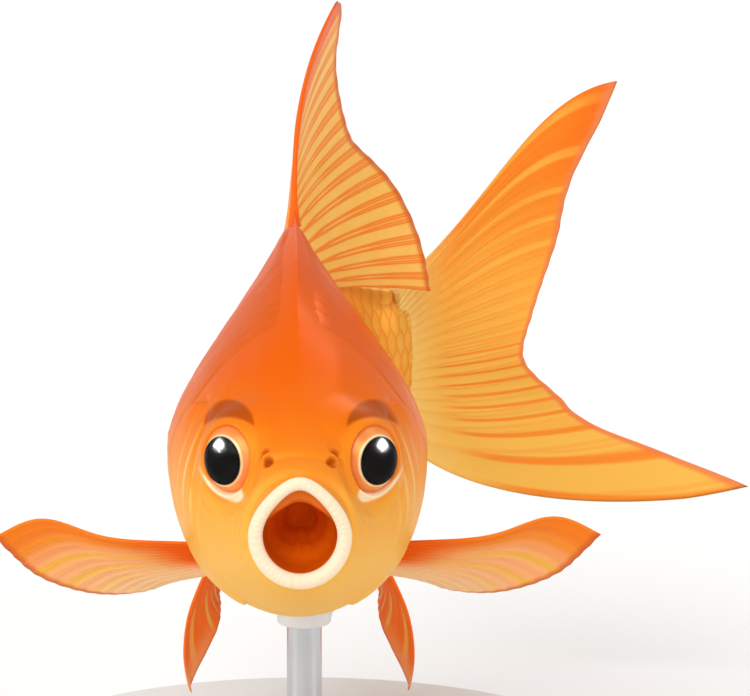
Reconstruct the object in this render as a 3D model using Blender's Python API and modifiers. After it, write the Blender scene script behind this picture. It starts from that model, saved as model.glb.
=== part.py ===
"""A goldfish, life size, as a still museum model on a plain display stand.

Metres, +Z up. The fish is level, faces -Y and swings its tail to its own left, which is +X. The origin is the
middle of the stand's underside. Along the fish, places are measured from the snout down its bent midline."""

import math

import bmesh
import bpy
from mathutils import Matrix, Vector

MM = 0.001
GAP = 0.3 * MM

# the fish: snout to tail base, and where its snout is from the middle of the stand
STANDARD_LENGTH = 112 * MM
SNOUT_HEIGHT = 49 * MM
SNOUT_AHEAD = 50 * MM

# midline: a slight swing to the right in the trunk, then the tail stalk and fin turn left
HEAD_YAW = math.radians(-1)
COUNTER_YAW = math.radians(-3)
COUNTER_FROM, COUNTER_TO = 42 * MM, 94 * MM
TAIL_YAW = math.radians(62)
TAIL_BEND_FROM, TAIL_BEND_POWER = 76 * MM, 1.4
FIN_YAW = math.radians(76)
FIN_BEND_TO = STANDARD_LENGTH + 35 * MM
MIDLINE_STEPS = 80

# cross sections, in mm: place, half width, back, belly, widest line's height, and keel (0 round, 1 ridged)
SECTIONS = (
    (1.5, 6.4, 7.3, -6.3, 0.4, 0.00),
    (5.0, 8.0, 9.8, -8.7, 0.7, 0.00),
    (10.0, 10.1, 13.0, -11.1, 1.0, 0.00),
    (16.0, 12.6, 16.0, -13.4, 1.2, 0.10),
    (24.0, 14.7, 19.7, -15.9, 1.2, 0.25),
    (34.0, 15.8, 23.3, -18.2, 1.0, 0.50),
    (45.0, 16.1, 26.3, -20.0, 0.8, 0.80),
    (56.0, 15.1, 28.0, -21.3, 0.4, 1.05),
    (66.0, 12.9, 26.0, -20.9, 0.2, 1.05),
    (76.0, 10.1, 21.4, -19.0, -0.2, 0.95),
    (86.0, 7.5, 15.8, -16.0, -0.9, 0.70),
    (96.0, 5.5, 11.4, -12.9, -1.8, 0.35),
    (105.0, 4.0, 8.2, -11.3, -2.4, 0.20),
    (112.0, 3.0, 6.4, -11.0, -2.6, 0.10),
    (115.5, 1.2, 5.9, -10.6, -2.6, 0.00),
)
WIDTH, BACK, BELLY, WIDEST, KEEL = 1, 2, 3, 4, 5
KEEL_SHARPENS, KEEL_SLOPES = 0.43, 0.95
AROUND = 18
CAGE_SWELL = 0.15 * MM  # a cage this much larger is pulled in to the true section by its subdivision

# where the body is parted
HEAD_ENDS = 30 * MM
TRUNK_ENDS = 84 * MM
BLOCK = 180 * MM

# mouth and lips
MOUTH_HALF_WIDTH, MOUTH_HALF_HEIGHT, MOUTH_PEAK = 5.3 * MM, 5.6 * MM, 0.7 * MM
MOUTH_PEAK_POWER = 6
MOUTH_RAISE = 0.5 * MM
HOLLOW_INSET, HOLLOW_RAISE, HOLLOW_DEPTH = 0.5 * MM, 0.8 * MM, 12 * MM
HOLLOW_BACK = 2 * MM
LIP_RADIUS, LIP_FORWARD = 0.95 * MM, 0.2 * MM
LIP_THIN_END, LIP_FULLER = 0.8, 0.25
LIP_CORNER = math.radians(100)
LIP_GAPE = math.radians(4)
LIP_POINTS = 15

# eyes
EYE_RADIUS, EYE_FLATNESS = 4.8 * MM, 0.92
EYE_CENTRE = Vector((7.1, 12.4, 6.7)) * MM
EYE_LOOKS = Vector((0.66, -0.72, 0.22))

# gill covers: plates of this thickness, with this outline from the side
GILL_PLATE = 2 * MM
GILL_PLACE, GILL_HEIGHT = 24.5 * MM, -1.0 * MM
GILL_FRONT, GILL_REAR, GILL_UP, GILL_DOWN = 7.0 * MM, 9.0 * MM, 12.0 * MM, 12.5 * MM
GILL_SLANT_UP, GILL_SLANT_DOWN = 1.0 * MM, 2.5 * MM
GILL_INNER, GILL_OUTER = 2 * MM, 26 * MM

# fins: their thickness, and how deep the roots of those on the midline start inside the body
FIN_THICKNESS = 0.6 * MM
ROOT_DEPTH = 2.5 * MM

# dorsal fin, front (0) to back (1): lengths and sideways curls of its rays in mm
DORSAL_FROM, DORSAL_TO = 56 * MM, 96 * MM
DORSAL_PITCH, DORSAL_LAID_BACK, DORSAL_LAID_POWER = math.radians(68), math.radians(66), 0.95
DORSAL_DROOP = math.radians(8)
DORSAL_LENGTHS = ((0.0, 26.7), (0.1, 26.2), (0.25, 21.5), (0.45, 17.9), (0.7, 19.9), (1.0, 9.3))
DORSAL_CURLS = ((0.0, 5.8), (0.1, 6.9), (0.25, 6.8), (0.45, 8.8), (0.7, 12.3), (1.0, 11.3))
DORSAL_CURL_LATE, DORSAL_CURL_SOONER = 3.0, 1.6

# tail fin, lower edge (-1) to upper edge (1)
CAUDAL_ROOT_AT = STANDARD_LENGTH - 1 * MM
CAUDAL_HALF_ROOT = 8.3 * MM
CAUDAL_SPREAD, CAUDAL_PITCH = math.radians(24.2), math.radians(11.2)
CAUDAL_NOTCH_AT = -0.30
CAUDAL_LENGTHS = (
    (-1.0, 50.0),
    (-0.85, 30.4),
    (-0.65, 24.0),
    (-0.35, 19.2),
    (0.0, 21.4),
    (0.4, 26.8),
    (0.75, 32.1),
    (1.0, 43.5),
)
BULGE_BELOW, BULGE_ABOVE = 0.151, 0.078
BULGE_SOON_BELOW, BULGE_LATE_ABOVE = 0.69, 2.8
CAUDAL_TWIST, CAUDAL_TWIST_OVER = math.radians(12), 40 * MM
CAUDAL_RIPPLE, RIPPLE_ACROSS, RIPPLE_ALONG = 0.8 * MM, 5, 3

# anal fin, front to back
ANAL_FROM, ANAL_TO = 84 * MM, 94 * MM
ANAL_LENGTHS = ((0.0, 17.0), (0.2, 16.0), (0.6, 11.0), (1.0, 9.0))
ANAL_PITCH, ANAL_FANS = math.radians(-62), math.radians(38)
ANAL_LEAN = math.radians(10)

# paired fins, in mm, leading edge to trailing edge: roots inside the body (left, place, up), directions of
# the rays, their lengths, and how far their tips bow off the plane
PECTORAL = {
    "roots": (Vector((9.8, 32.3, -8.8)), Vector((8.1, 34.8, -13.1))),
    "directions": (Vector((1.0, 0.10, 0.03)), Vector((0.80, 0.45, -0.19))),
    "lengths": ((0.0, 27.8), (0.12, 26.0), (0.3, 23.6), (0.5, 19.7), (0.75, 14.8), (0.9, 11.5), (1.0, 10.5)),
    "bow": Vector((0.0, 1.5, -2.3)),
    "sag": Vector((0.0, 0.0, -2.8)),
    "hump": 3.2,
    "drift": 0.0,
}
PELVIC = {
    "roots": (Vector((10.0, 50.9, -14.5)), Vector((7.8, 54.5, -16.5))),
    "directions": (Vector((0.39, 0.58, -0.82)), Vector((0.43, 0.81, -0.55))),
    "lengths": ((0.0, 27.8), (0.12, 27.9), (0.35, 18.7), (0.7, 14.4), (0.9, 12.6), (1.0, 11.0)),
    "bow": Vector((-6.2, 1.6, -1.9)),
    "sag": Vector((-0.9, 0.0, 0.4)),
    "hump": 0.0,
    "drift": 0.7,
}
BOW_LESS_BEHIND, BOW_POWER = 0.65, 2.5
HUMP_AT, HUMP_OVER = 0.80, 0.22

# stand
BASE_RADIUS, BASE_HEIGHT, BASE_BEVEL = 42 * MM, 7 * MM, 1.2 * MM
ROD_RADIUS = 2.2 * MM
COLLAR_RADIUS, COLLAR_HEIGHT, COLLAR_SHOULDER = 5.5 * MM, 3.0 * MM, 1.4 * MM
CRADLE_RADIUS, CRADLE_HEIGHT, CRADLE_RIM = 5.5 * MM, 5.0 * MM, 1.2 * MM
CRADLE_TOP = SNOUT_HEIGHT - 18.6 * MM

FLESH_ORANGE = (0.89, 0.15, 0.012)
FIN_GOLD = (0.93, 0.35, 0.06)
LIP_CREAM = (0.95, 0.72, 0.48)
EYE_BLACK = (0.01, 0.008, 0.008)
STAND_WHITE = (0.80, 0.80, 0.78)
STEEL_GREY = (0.60, 0.60, 0.60)
SIDES = ((1, "left"), (-1, "right"))


# ---------------------------------------------------------------- scene, collections and materials


def clear_scene():
    for obj in list(bpy.data.objects):
        bpy.data.objects.remove(obj)


def new_collection(name):
    collection = bpy.data.collections.new(name)
    bpy.context.scene.collection.children.link(collection)
    return collection


def material(name, colour, roughness, metallic=0.0):
    found = bpy.data.materials.get(name)
    if found:
        return found
    made = bpy.data.materials.new(name)
    made.use_nodes = True
    shader = made.node_tree.nodes["Principled BSDF"]
    shader.inputs["Base Color"].default_value = (*colour, 1)
    shader.inputs["Roughness"].default_value = roughness
    shader.inputs["Metallic"].default_value = metallic
    return made


def add_object(name, bm, collection, finish=None):
    """An object from a bmesh, shaded smooth but for its sharp edges."""
    bmesh.ops.recalc_face_normals(bm, faces=bm.faces)
    mesh = bpy.data.meshes.new(name)
    bm.to_mesh(mesh)
    bm.free()
    mesh.shade_smooth()
    mesh.set_sharp_from_angle(angle=math.radians(40))
    if finish:
        mesh.materials.append(finish)
    obj = bpy.data.objects.new(name, mesh)
    collection.objects.link(obj)
    if collection is cutters:
        obj.hide_render = True
        obj.display_type = "WIRE"
    return obj


def boolean(obj, operation, other):
    modifier = obj.modifiers.new(operation.lower() + "_" + other.name, "BOOLEAN")
    modifier.operation = operation
    modifier.object = other


def subdivide(obj):
    modifier = obj.modifiers.new("subdivide", "SUBSURF")
    modifier.levels = 1
    modifier.render_levels = 1


# ---------------------------------------------------------------- curves that the shapes follow


def smooth_through(points, at):
    """The value at a place on the smooth curve through (place, value) points, as cubics that share slopes."""
    last = len(points) - 1
    k = max(0, min(last - 1, sum(p[0] <= at for p in points) - 1))

    def slope(i):
        a, b = points[max(i - 1, 0)], points[min(i + 1, last)]
        return (b[1] - a[1]) / (b[0] - a[0])

    (x0, y0), (x1, y1) = points[k], points[k + 1]
    step = x1 - x0
    t = max(0.0, min(1.0, (at - x0) / step))
    return (
        (1 + 2 * t) * (1 - t) ** 2 * y0
        + t * (1 - t) ** 2 * step * slope(k)
        + t * t * (3 - 2 * t) * y1
        + t * t * (t - 1) * step * slope(k + 1)
    )


def share(value, start, end):
    """0 before start, 1 after end, in proportion between."""
    return max(0.0, min(1.0, (value - start) / (end - start)))


def yaw_at(place):
    """The midline's heading at a place: 0 is straight back along +Y, and positive turns to +X."""
    counter = COUNTER_YAW * math.sin(math.pi * share(place, COUNTER_FROM, COUNTER_TO)) ** 2
    bend = TAIL_YAW * share(place, TAIL_BEND_FROM, STANDARD_LENGTH) ** TAIL_BEND_POWER
    easing = math.sin(math.pi / 2 * share(place, STANDARD_LENGTH, FIN_BEND_TO))
    return HEAD_YAW + counter + bend + (FIN_YAW - TAIL_YAW) * easing


def heading(yaw, pitch):
    """The unit vector at a heading from +Y towards +X, pitched up."""
    return Vector((math.sin(yaw) * math.cos(pitch), math.cos(yaw) * math.cos(pitch), math.sin(pitch)))


def leftwards(yaw):
    """The level unit vector to the fish's left of a heading."""
    return Vector((math.cos(yaw), -math.sin(yaw), 0))


def midline(place):
    """(position at snout height, heading) of the bent midline at a place behind the snout."""
    spot = Vector((0, -SNOUT_AHEAD, SNOUT_HEIGHT))
    for k in range(MIDLINE_STEPS):
        yaw = yaw_at(place * (k + 0.5) / MIDLINE_STEPS)
        spot += heading(yaw, 0) * place / MIDLINE_STEPS
    return spot, yaw_at(place)


def section_value(place, column):
    return smooth_through([(row[0] * MM, row[column]) for row in SECTIONS], place)


def skin_offset(place, turn, grow=0.0):
    """(sideways, height above the snout) of the skin. turn is 0 on the back, a quarter on the left side."""
    columns = (WIDTH, BACK, BELLY, WIDEST)
    half_width, back, belly, widest = (section_value(place, column) * MM for column in columns)
    keel = section_value(place, KEEL)
    rise = math.cos(turn)
    if rise > 0:
        height = widest + (back + grow - widest) * rise
        fullness = max(0.0, 1 - rise ** (2 - KEEL_SHARPENS * keel)) ** (0.5 + KEEL_SLOPES * keel)
    else:
        height = widest + (widest - belly + grow) * rise
        fullness = math.sqrt(max(0.0, 1 - rise * rise))
    return math.copysign((half_width + grow) * fullness, math.sin(turn)), height


def skin_point(place, turn, grow=0.0):
    spot, yaw = midline(place)
    sideways, height = skin_offset(place, turn, grow)
    return spot + leftwards(yaw) * sideways + Vector((0, 0, height))


def from_snout(x, y, z):
    """A point given from the middle of the mouth: left, back, up."""
    return Vector((x, y - SNOUT_AHEAD, z + SNOUT_HEIGHT))


# ---------------------------------------------------------------- body


def body_form(name, collection, grow=0.0, finish=None):
    """The whole body as a loft from mouth to tail base, smoothed by subdivision."""
    bm = bmesh.new()
    turns = [2 * math.pi * k / AROUND for k in range(AROUND)]
    rings = []
    for row in SECTIONS:
        points = [skin_point(row[0] * MM, turn, grow + CAGE_SWELL) for turn in turns]
        rings.append([bm.verts.new(point) for point in points])
    for ahead, behind in zip(rings, rings[1:]):
        for k in range(AROUND):
            n = (k + 1) % AROUND
            bm.faces.new((ahead[k], ahead[n], behind[n], behind[k]))
    bm.faces.new(rings[0])
    bm.faces.new(rings[-1])
    obj = add_object(name, bm, collection, finish)
    subdivide(obj)
    return obj


def half(name, place, towards):
    """A block that holds the fish behind a place (towards 1) or ahead of it (-1), square to its midline."""
    spot, yaw = midline(place)
    bm = bmesh.new()
    bmesh.ops.create_cube(bm, size=BLOCK)
    middle = spot + heading(yaw, 0) * towards * BLOCK / 2
    placed = Matrix.Translation(middle) @ Matrix.Rotation(-yaw, 4, "Z")
    bmesh.ops.transform(bm, matrix=placed, verts=bm.verts)
    return add_object(name, bm, cutters)


def gill_prism(name, side, margin, collection, finish=None):
    """The gill cover's outline seen from the side, drawn out sideways past the cheek."""
    bm = bmesh.new()
    bmesh.ops.create_cone(bm, cap_ends=True, segments=24, radius1=1, radius2=1, depth=1)
    for vert in bm.verts:
        turn = math.atan2(vert.co.y, vert.co.x)
        back, up = math.cos(turn), math.sin(turn)
        reach_back = (GILL_REAR if back > 0 else GILL_FRONT) + margin
        reach_up = (GILL_UP if up > 0 else GILL_DOWN) + margin
        slant = (GILL_SLANT_UP if up > 0 else GILL_SLANT_DOWN) * up * up
        outwards = GILL_INNER + (GILL_OUTER - GILL_INNER) * (vert.co.z + 0.5)
        place = GILL_PLACE + back * reach_back - slant
        vert.co = from_snout(side * outwards, place, GILL_HEIGHT + up * reach_up)
    return add_object(name, bm, collection, finish)


def ellipsoid(name, centre, radii, segments, rings, collection, finish=None, facing=None):
    bm = bmesh.new()
    bmesh.ops.create_uvsphere(bm, u_segments=segments, v_segments=rings, radius=1)
    bmesh.ops.scale(bm, vec=radii, verts=bm.verts)
    if facing:
        bmesh.ops.transform(bm, matrix=facing, verts=bm.verts)
    bmesh.ops.translate(bm, vec=centre, verts=bm.verts)
    return add_object(name, bm, collection, finish)


def eye(side, name, collection, grow=0.0, finish=None):
    centre = from_snout(side * EYE_CENTRE.x, EYE_CENTRE.y, EYE_CENTRE.z)
    looks = Vector((side * EYE_LOOKS.x, EYE_LOOKS.y, EYE_LOOKS.z))
    facing = looks.to_track_quat("Z", "Y").to_matrix().to_4x4()
    radius = EYE_RADIUS + grow
    radii = Vector((radius, radius, EYE_RADIUS * EYE_FLATNESS + grow))
    return ellipsoid(name, centre, radii, 18, 10, collection, finish, facing)


def mouth_hollow():
    radii = Vector((MOUTH_HALF_WIDTH - HOLLOW_INSET, HOLLOW_DEPTH, MOUTH_HALF_HEIGHT - HOLLOW_INSET))
    return ellipsoid("mouth_hollow", from_snout(0, HOLLOW_BACK, HOLLOW_RAISE), radii, 16, 10, cutters)


def make_gill_covers(finish):
    """The two covers, and the pockets in the head and trunk that they lie in."""
    whole = body_form("whole_body", cutters)
    within = body_form("body_within", cutters, -GILL_PLATE)
    deeper = body_form("body_deeper", cutters, -GILL_PLATE - GAP)
    pockets = []
    for side, hand in SIDES:
        cover = gill_prism("gill_cover_" + hand, side, 0, fish, finish)
        boolean(cover, "INTERSECT", whole)
        boolean(cover, "DIFFERENCE", within)
        pocket = gill_prism("gill_pocket_" + hand, side, GAP, cutters)
        boolean(pocket, "DIFFERENCE", deeper)
        pockets.append(pocket)
    return pockets


def make_body():
    flesh = material("flesh", FLESH_ORANGE, 0.35)
    pockets = make_gill_covers(flesh)
    head = body_form("head", fish, 0.0, flesh)
    boolean(head, "INTERSECT", half("head_half", HEAD_ENDS - GAP / 2, -1))
    trunk = body_form("trunk", fish, 0.0, flesh)
    boolean(trunk, "INTERSECT", half("behind_head", HEAD_ENDS + GAP / 2, 1))
    boolean(trunk, "INTERSECT", half("ahead_of_tail", TRUNK_ENDS - GAP / 2, -1))
    tail_stalk = body_form("tail_stalk", fish, 0.0, flesh)
    boolean(tail_stalk, "INTERSECT", half("tail_half", TRUNK_ENDS + GAP / 2, 1))
    for pocket in pockets:
        boolean(head, "DIFFERENCE", pocket)
        boolean(trunk, "DIFFERENCE", pocket)
    boolean(head, "DIFFERENCE", mouth_hollow())
    for side, hand in SIDES:
        boolean(head, "DIFFERENCE", eye(side, "socket_" + hand, cutters, GAP))


def make_eyes():
    finish = material("eye", EYE_BLACK, 0.08)
    for side, hand in SIDES:
        eye(side, "eye_" + hand, fish, 0.0, finish)


def lip_point(turn):
    """A point on the middle of the lips: turn is 0 at the top, where they rise to a soft peak."""
    rise = math.cos(turn)
    peak = MOUTH_PEAK * max(0.0, rise) ** MOUTH_PEAK_POWER
    height = MOUTH_RAISE + MOUTH_HALF_HEIGHT * rise + peak
    return from_snout(MOUTH_HALF_WIDTH * math.sin(turn), LIP_FORWARD, height)


def make_lip(name, start, end, finish):
    curve = bpy.data.curves.new(name, "CURVE")
    curve.dimensions = "3D"
    curve.bevel_depth = LIP_RADIUS
    curve.bevel_resolution = 2
    curve.use_fill_caps = True
    spline = curve.splines.new("POLY")
    spline.points.add(LIP_POINTS - 1)
    for k, point in enumerate(spline.points):
        along = k / (LIP_POINTS - 1)
        point.co = (*lip_point(start + (end - start) * along), 1)
        point.radius = LIP_THIN_END + LIP_FULLER * math.sin(math.pi * along)
    curve.materials.append(finish)
    fish.objects.link(bpy.data.objects.new(name, curve))


def make_lips():
    finish = material("lips", LIP_CREAM, 0.3)
    make_lip("upper_lip", LIP_GAPE - LIP_CORNER, LIP_CORNER - LIP_GAPE, finish)
    make_lip("lower_lip", LIP_CORNER + LIP_GAPE, 2 * math.pi - LIP_CORNER - LIP_GAPE, finish)


# ---------------------------------------------------------------- fins


def fin(name, point, rays, steps, clear_of):
    """A thin sheet: point(u, v) gives a place across the rays (u) and along them from root to margin (v)."""
    bm = bmesh.new()
    bmesh.ops.create_grid(bm, x_segments=rays, y_segments=steps, size=0.5)
    for vert in bm.verts:
        vert.co = point(vert.co.x + 0.5, vert.co.y + 0.5)
    obj = add_object(name, bm, fish, material("fin", FIN_GOLD, 0.4))
    shell = obj.modifiers.new("thickness", "SOLIDIFY")
    shell.thickness = FIN_THICKNESS
    shell.offset = 0
    boolean(obj, "DIFFERENCE", clear_of)


def dorsal_point(u, v):
    """u runs back along the fin's base, v up along a ray, which curls over to the left."""
    place = DORSAL_FROM + (DORSAL_TO - DORSAL_FROM) * u
    yaw = midline(place)[1]
    pitch = DORSAL_PITCH - DORSAL_LAID_BACK * u**DORSAL_LAID_POWER - DORSAL_DROOP * v * u
    length = smooth_through(DORSAL_LENGTHS, u) * MM + ROOT_DEPTH
    lateness = DORSAL_CURL_LATE - DORSAL_CURL_SOONER * math.sqrt(u)
    curl = smooth_through(DORSAL_CURLS, u) * MM * v**lateness
    root = skin_point(place, 0) - Vector((0, 0, ROOT_DEPTH))
    return root + heading(yaw, pitch) * length * v + leftwards(yaw) * curl


def caudal_bulge(fan, v):
    """How far the rays bow outwards: soon after the root in the lower lobe, near the tip in the upper one."""
    across = (fan + 1) / 2
    power = BULGE_SOON_BELOW * (BULGE_LATE_ABOVE / BULGE_SOON_BELOW) ** across
    largest = (power / (power + 1)) ** power / (power + 1)
    return v**power * (1 - v) / largest * (BULGE_BELOW + (BULGE_ABOVE - BULGE_BELOW) * across)


def caudal_point(fan, v):
    """fan runs from the tail fin's lower edge (-1) to its upper edge (1), v from root to margin."""
    length = smooth_through(CAUDAL_LENGTHS, fan) * MM
    spread = CAUDAL_SPREAD * fan + CAUDAL_PITCH
    bulge = caudal_bulge(fan, max(0.0, v)) * fan
    height = fan * CAUDAL_HALF_ROOT + length * (v * math.sin(spread) + bulge * math.cos(spread))
    along = max(0.0, length * (v * math.cos(spread) - bulge * math.sin(spread)))
    root = midline(CAUDAL_ROOT_AT)[0]
    spot, yaw = midline(CAUDAL_ROOT_AT + along)
    twist = Matrix.Rotation(CAUDAL_TWIST * fan * share(along, 0, CAUDAL_TWIST_OVER), 3, "Z")
    middle = (section_value(CAUDAL_ROOT_AT, BACK) + section_value(CAUDAL_ROOT_AT, BELLY)) / 2 * MM
    ripple = CAUDAL_RIPPLE * v * v * math.sin(RIPPLE_ACROSS * fan + RIPPLE_ALONG * v)
    return root + twist @ (spot - root) + Vector((0, 0, middle + height)) + leftwards(yaw) * ripple


def caudal_lobe_point(sign, u, v):
    """u runs from the notch to the upper (sign 1) or lower (-1) edge, with a thin gap between the lobes."""
    edge = CAUDAL_NOTCH_AT + sign * GAP / 2 / CAUDAL_HALF_ROOT
    return caudal_point(edge + (sign - edge) * u, v)


def anal_point(u, v):
    place = ANAL_FROM + (ANAL_TO - ANAL_FROM) * u
    root = skin_point(place, math.pi) + Vector((0, 0, ROOT_DEPTH))
    length = smooth_through(ANAL_LENGTHS, u) * MM + ROOT_DEPTH
    lean = midline(place)[1] + ANAL_LEAN * v
    return root + heading(lean, ANAL_PITCH + ANAL_FANS * u) * length * v


def mirrored(vector, side):
    return Vector((side * vector.x, vector.y, vector.z))


def paired_point(shape, side, u, v):
    """A point on a pectoral or pelvic fin: u runs from its leading edge to its trailing edge."""
    first, last = shape["directions"]
    along = first.normalized().lerp(last.normalized(), u).normalized()
    bow = shape["bow"] * (1 - BOW_LESS_BEHIND * u) * v**BOW_POWER
    bow += shape["sag"] * 4 * u * (1 - u) * v**BOW_POWER
    bow.z += shape["hump"] * (1 - u) ** 2 * math.exp(-(((v - HUMP_AT) / HUMP_OVER) ** 2))
    drift = Vector((shape["drift"] * v, 0, 0))
    reach = (mirrored(along * smooth_through(shape["lengths"], u) * v + bow, side) + drift) * MM
    root = mirrored(shape["roots"][0].lerp(shape["roots"][1], u), side) * MM
    spot, yaw = midline(root.y)
    return spot + Matrix.Rotation(-yaw, 3, "Z") @ (reach + Vector((root.x, 0, root.z)))


def make_fins():
    clear_of = body_form("body_clearance", cutters, GAP)
    fin("dorsal_fin", dorsal_point, 14, 6, clear_of)
    fin("caudal_fin_upper", lambda u, v: caudal_lobe_point(1, u, v), 9, 10, clear_of)
    fin("caudal_fin_lower", lambda u, v: caudal_lobe_point(-1, u, v), 8, 10, clear_of)
    fin("anal_fin", anal_point, 7, 5, clear_of)
    for side, hand in SIDES:
        fin("pectoral_fin_" + hand, lambda u, v, s=side: paired_point(PECTORAL, s, u, v), 9, 8, clear_of)
        fin("pelvic_fin_" + hand, lambda u, v, s=side: paired_point(PELVIC, s, u, v), 7, 7, clear_of)


# ---------------------------------------------------------------- stand


def turned(name, profile, finish, steps):
    """A solid turned about the vertical axis. Its (radius, height) profile runs down the outer side."""
    bm = bmesh.new()
    verts = [bm.verts.new((radius, 0, height)) for radius, height in profile]
    for above, below in zip(verts, verts[1:]):
        bm.edges.new((above, below))
    mesh = bpy.data.meshes.new(name)
    bm.to_mesh(mesh)
    bm.free()
    mesh.materials.append(finish)
    obj = bpy.data.objects.new(name, mesh)
    fish.objects.link(obj)
    screw = obj.modifiers.new("turn", "SCREW")
    screw.steps = steps
    screw.render_steps = steps
    screw.use_merge_vertices = True
    screw.merge_threshold = 0.00005
    screw.use_smooth_shade = True
    return obj


def base_profile():
    top, bevel = BASE_HEIGHT, BASE_BEVEL
    return (
        (0, top),
        (BASE_RADIUS - 2 * bevel, top),
        (BASE_RADIUS - 0.6 * bevel, top - 0.4 * bevel),
        (BASE_RADIUS, top - 1.6 * bevel),
        (BASE_RADIUS, 0.5 * bevel),
        (BASE_RADIUS - 0.5 * bevel, 0),
        (0, 0),
    )


def collar_profile(foot):
    """A ring round the rod, with a sloped shoulder. Its profile is closed, because it has a bore."""
    bore, top = ROD_RADIUS + GAP, foot + COLLAR_HEIGHT
    return (
        (bore, top),
        (COLLAR_RADIUS - COLLAR_SHOULDER, top),
        (COLLAR_RADIUS, top - COLLAR_SHOULDER),
        (COLLAR_RADIUS, foot),
        (bore, foot),
        (bore, top),
    )


def cradle_profile(seat):
    return (
        (0, CRADLE_TOP),
        (CRADLE_RADIUS, CRADLE_TOP),
        (CRADLE_RADIUS, CRADLE_TOP - CRADLE_RIM),
        (ROD_RADIUS + CRADLE_RIM, seat + CRADLE_RIM),
        (ROD_RADIUS + CRADLE_RIM, seat),
        (0, seat),
    )


def make_stand():
    white = material("stand_white", STAND_WHITE, 0.45)
    steel = material("steel", STEEL_GREY, 0.3, 1.0)
    foot = BASE_HEIGHT + GAP
    seat = CRADLE_TOP - CRADLE_HEIGHT
    turned("stand_base", base_profile(), white, 44)
    turned("stand_collar", collar_profile(foot), steel, 24)
    rod_top = seat - GAP
    turned("stand_rod", ((0, rod_top), (ROD_RADIUS, rod_top), (ROD_RADIUS, foot), (0, foot)), steel, 24)
    cradle = turned("stand_cradle", cradle_profile(seat), white, 24)
    boolean(cradle, "DIFFERENCE", bpy.data.objects["body_clearance"])


clear_scene()
fish = new_collection("goldfish")
cutters = new_collection("cutters")
make_body()
make_eyes()
make_lips()
make_fins()
make_stand()
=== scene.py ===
# %% [markdown]
# # A goldfish on a display stand
#
# The real object is a museum model of a goldfish, life size. It has a moulded body under one skin, thin
# scales laid over the trunk, fins with their rays in relief, glass eyes, and a plain stand that holds it
# at swimming height. Everything here is in metres, in the frame of the packed model: the fish faces -Y,
# +X is its own left, and the origin is the middle of the stand's underside.

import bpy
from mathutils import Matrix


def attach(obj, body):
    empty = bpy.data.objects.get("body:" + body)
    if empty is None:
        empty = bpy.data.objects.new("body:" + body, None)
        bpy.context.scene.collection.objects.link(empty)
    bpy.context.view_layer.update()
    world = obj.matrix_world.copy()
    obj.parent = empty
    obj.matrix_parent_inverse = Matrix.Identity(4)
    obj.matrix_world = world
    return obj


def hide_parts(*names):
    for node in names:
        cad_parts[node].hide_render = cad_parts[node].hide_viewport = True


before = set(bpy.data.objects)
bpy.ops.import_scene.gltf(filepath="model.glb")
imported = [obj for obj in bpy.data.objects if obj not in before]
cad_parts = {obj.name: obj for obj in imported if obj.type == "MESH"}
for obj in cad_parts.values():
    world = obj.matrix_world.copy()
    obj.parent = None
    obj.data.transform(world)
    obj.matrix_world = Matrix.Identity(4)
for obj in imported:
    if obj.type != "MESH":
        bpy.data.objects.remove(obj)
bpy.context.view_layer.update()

# %% [markdown]
# ## Numbers before shapes
#
# A fish's body can be sculpted, or it can be written down as a naturalist's table: how wide and how deep
# it is at places along its length. The table is chosen, because the skin, every scale and every fin root
# can then ask the same few functions where the surface is. NumPy answers for many thousands of points at
# once.

# %% The table of cross sections
import math

import bpy
import numpy as np
from mathutils import Matrix, Vector

MM = 0.001
SNOUT = np.array((0.0, -50.0, 49.0)) * MM
# in mm: place behind the snout, half width, back, belly, height of the widest line, and keel, 0 to 1
SECTIONS = np.array(
    (
        (1.5, 6.4, 7.3, -6.3, 0.4, 0.00),
        (5.0, 8.0, 9.8, -8.7, 0.7, 0.00),
        (10.0, 10.1, 13.0, -11.1, 1.0, 0.00),
        (16.0, 12.6, 16.0, -13.4, 1.2, 0.10),
        (24.0, 14.7, 19.7, -15.9, 1.2, 0.25),
        (34.0, 15.8, 23.3, -18.2, 1.0, 0.50),
        (45.0, 16.1, 26.3, -20.0, 0.8, 0.80),
        (56.0, 15.1, 28.0, -21.3, 0.4, 1.05),
        (66.0, 12.9, 26.0, -20.9, 0.2, 1.05),
        (76.0, 10.1, 21.4, -19.0, -0.2, 0.95),
        (86.0, 7.5, 15.8, -16.0, -0.9, 0.70),
        (96.0, 5.5, 11.4, -12.9, -1.8, 0.35),
        (105.0, 4.0, 8.2, -11.3, -2.4, 0.20),
        (112.0, 3.0, 6.4, -11.0, -2.6, 0.10),
        (115.5, 1.2, 5.9, -10.6, -2.6, 0.00),
    )
)
WIDTH, BACK, BELLY, WIDEST, KEEL = 1, 2, 3, 4, 5
KEEL_SHARPENS, KEEL_SLOPES = 0.43, 0.95


def smooth_through(points, at):
    """The smooth curve through (place, value) points, read at many places: cubics that share slopes."""
    x, y = np.asarray(points, float).T
    slope = np.gradient(y, x)
    slope[1:-1] = (y[2:] - y[:-2]) / (x[2:] - x[:-2])
    k = np.clip(np.searchsorted(x, at, side="right") - 1, 0, len(x) - 2)
    step = x[k + 1] - x[k]
    t = np.clip((at - x[k]) / step, 0, 1)
    ahead = (1 + 2 * t) * (1 - t) ** 2 * y[k] + t * (1 - t) ** 2 * step * slope[k]
    return ahead + t * t * (3 - 2 * t) * y[k + 1] + t * t * (t - 1) * step * slope[k + 1]


def section(place, column):
    """One column of the table, in metres (a keel is a bare number), at places in metres."""
    unit = 1 if column == KEEL else MM
    return smooth_through(SECTIONS[:, (0, column)], np.asarray(place) / MM) * unit


print("widest", 2 * SECTIONS[:, WIDTH].max(), "mm at place", SECTIONS[SECTIONS[:, WIDTH].argmax(), 0])

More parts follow.
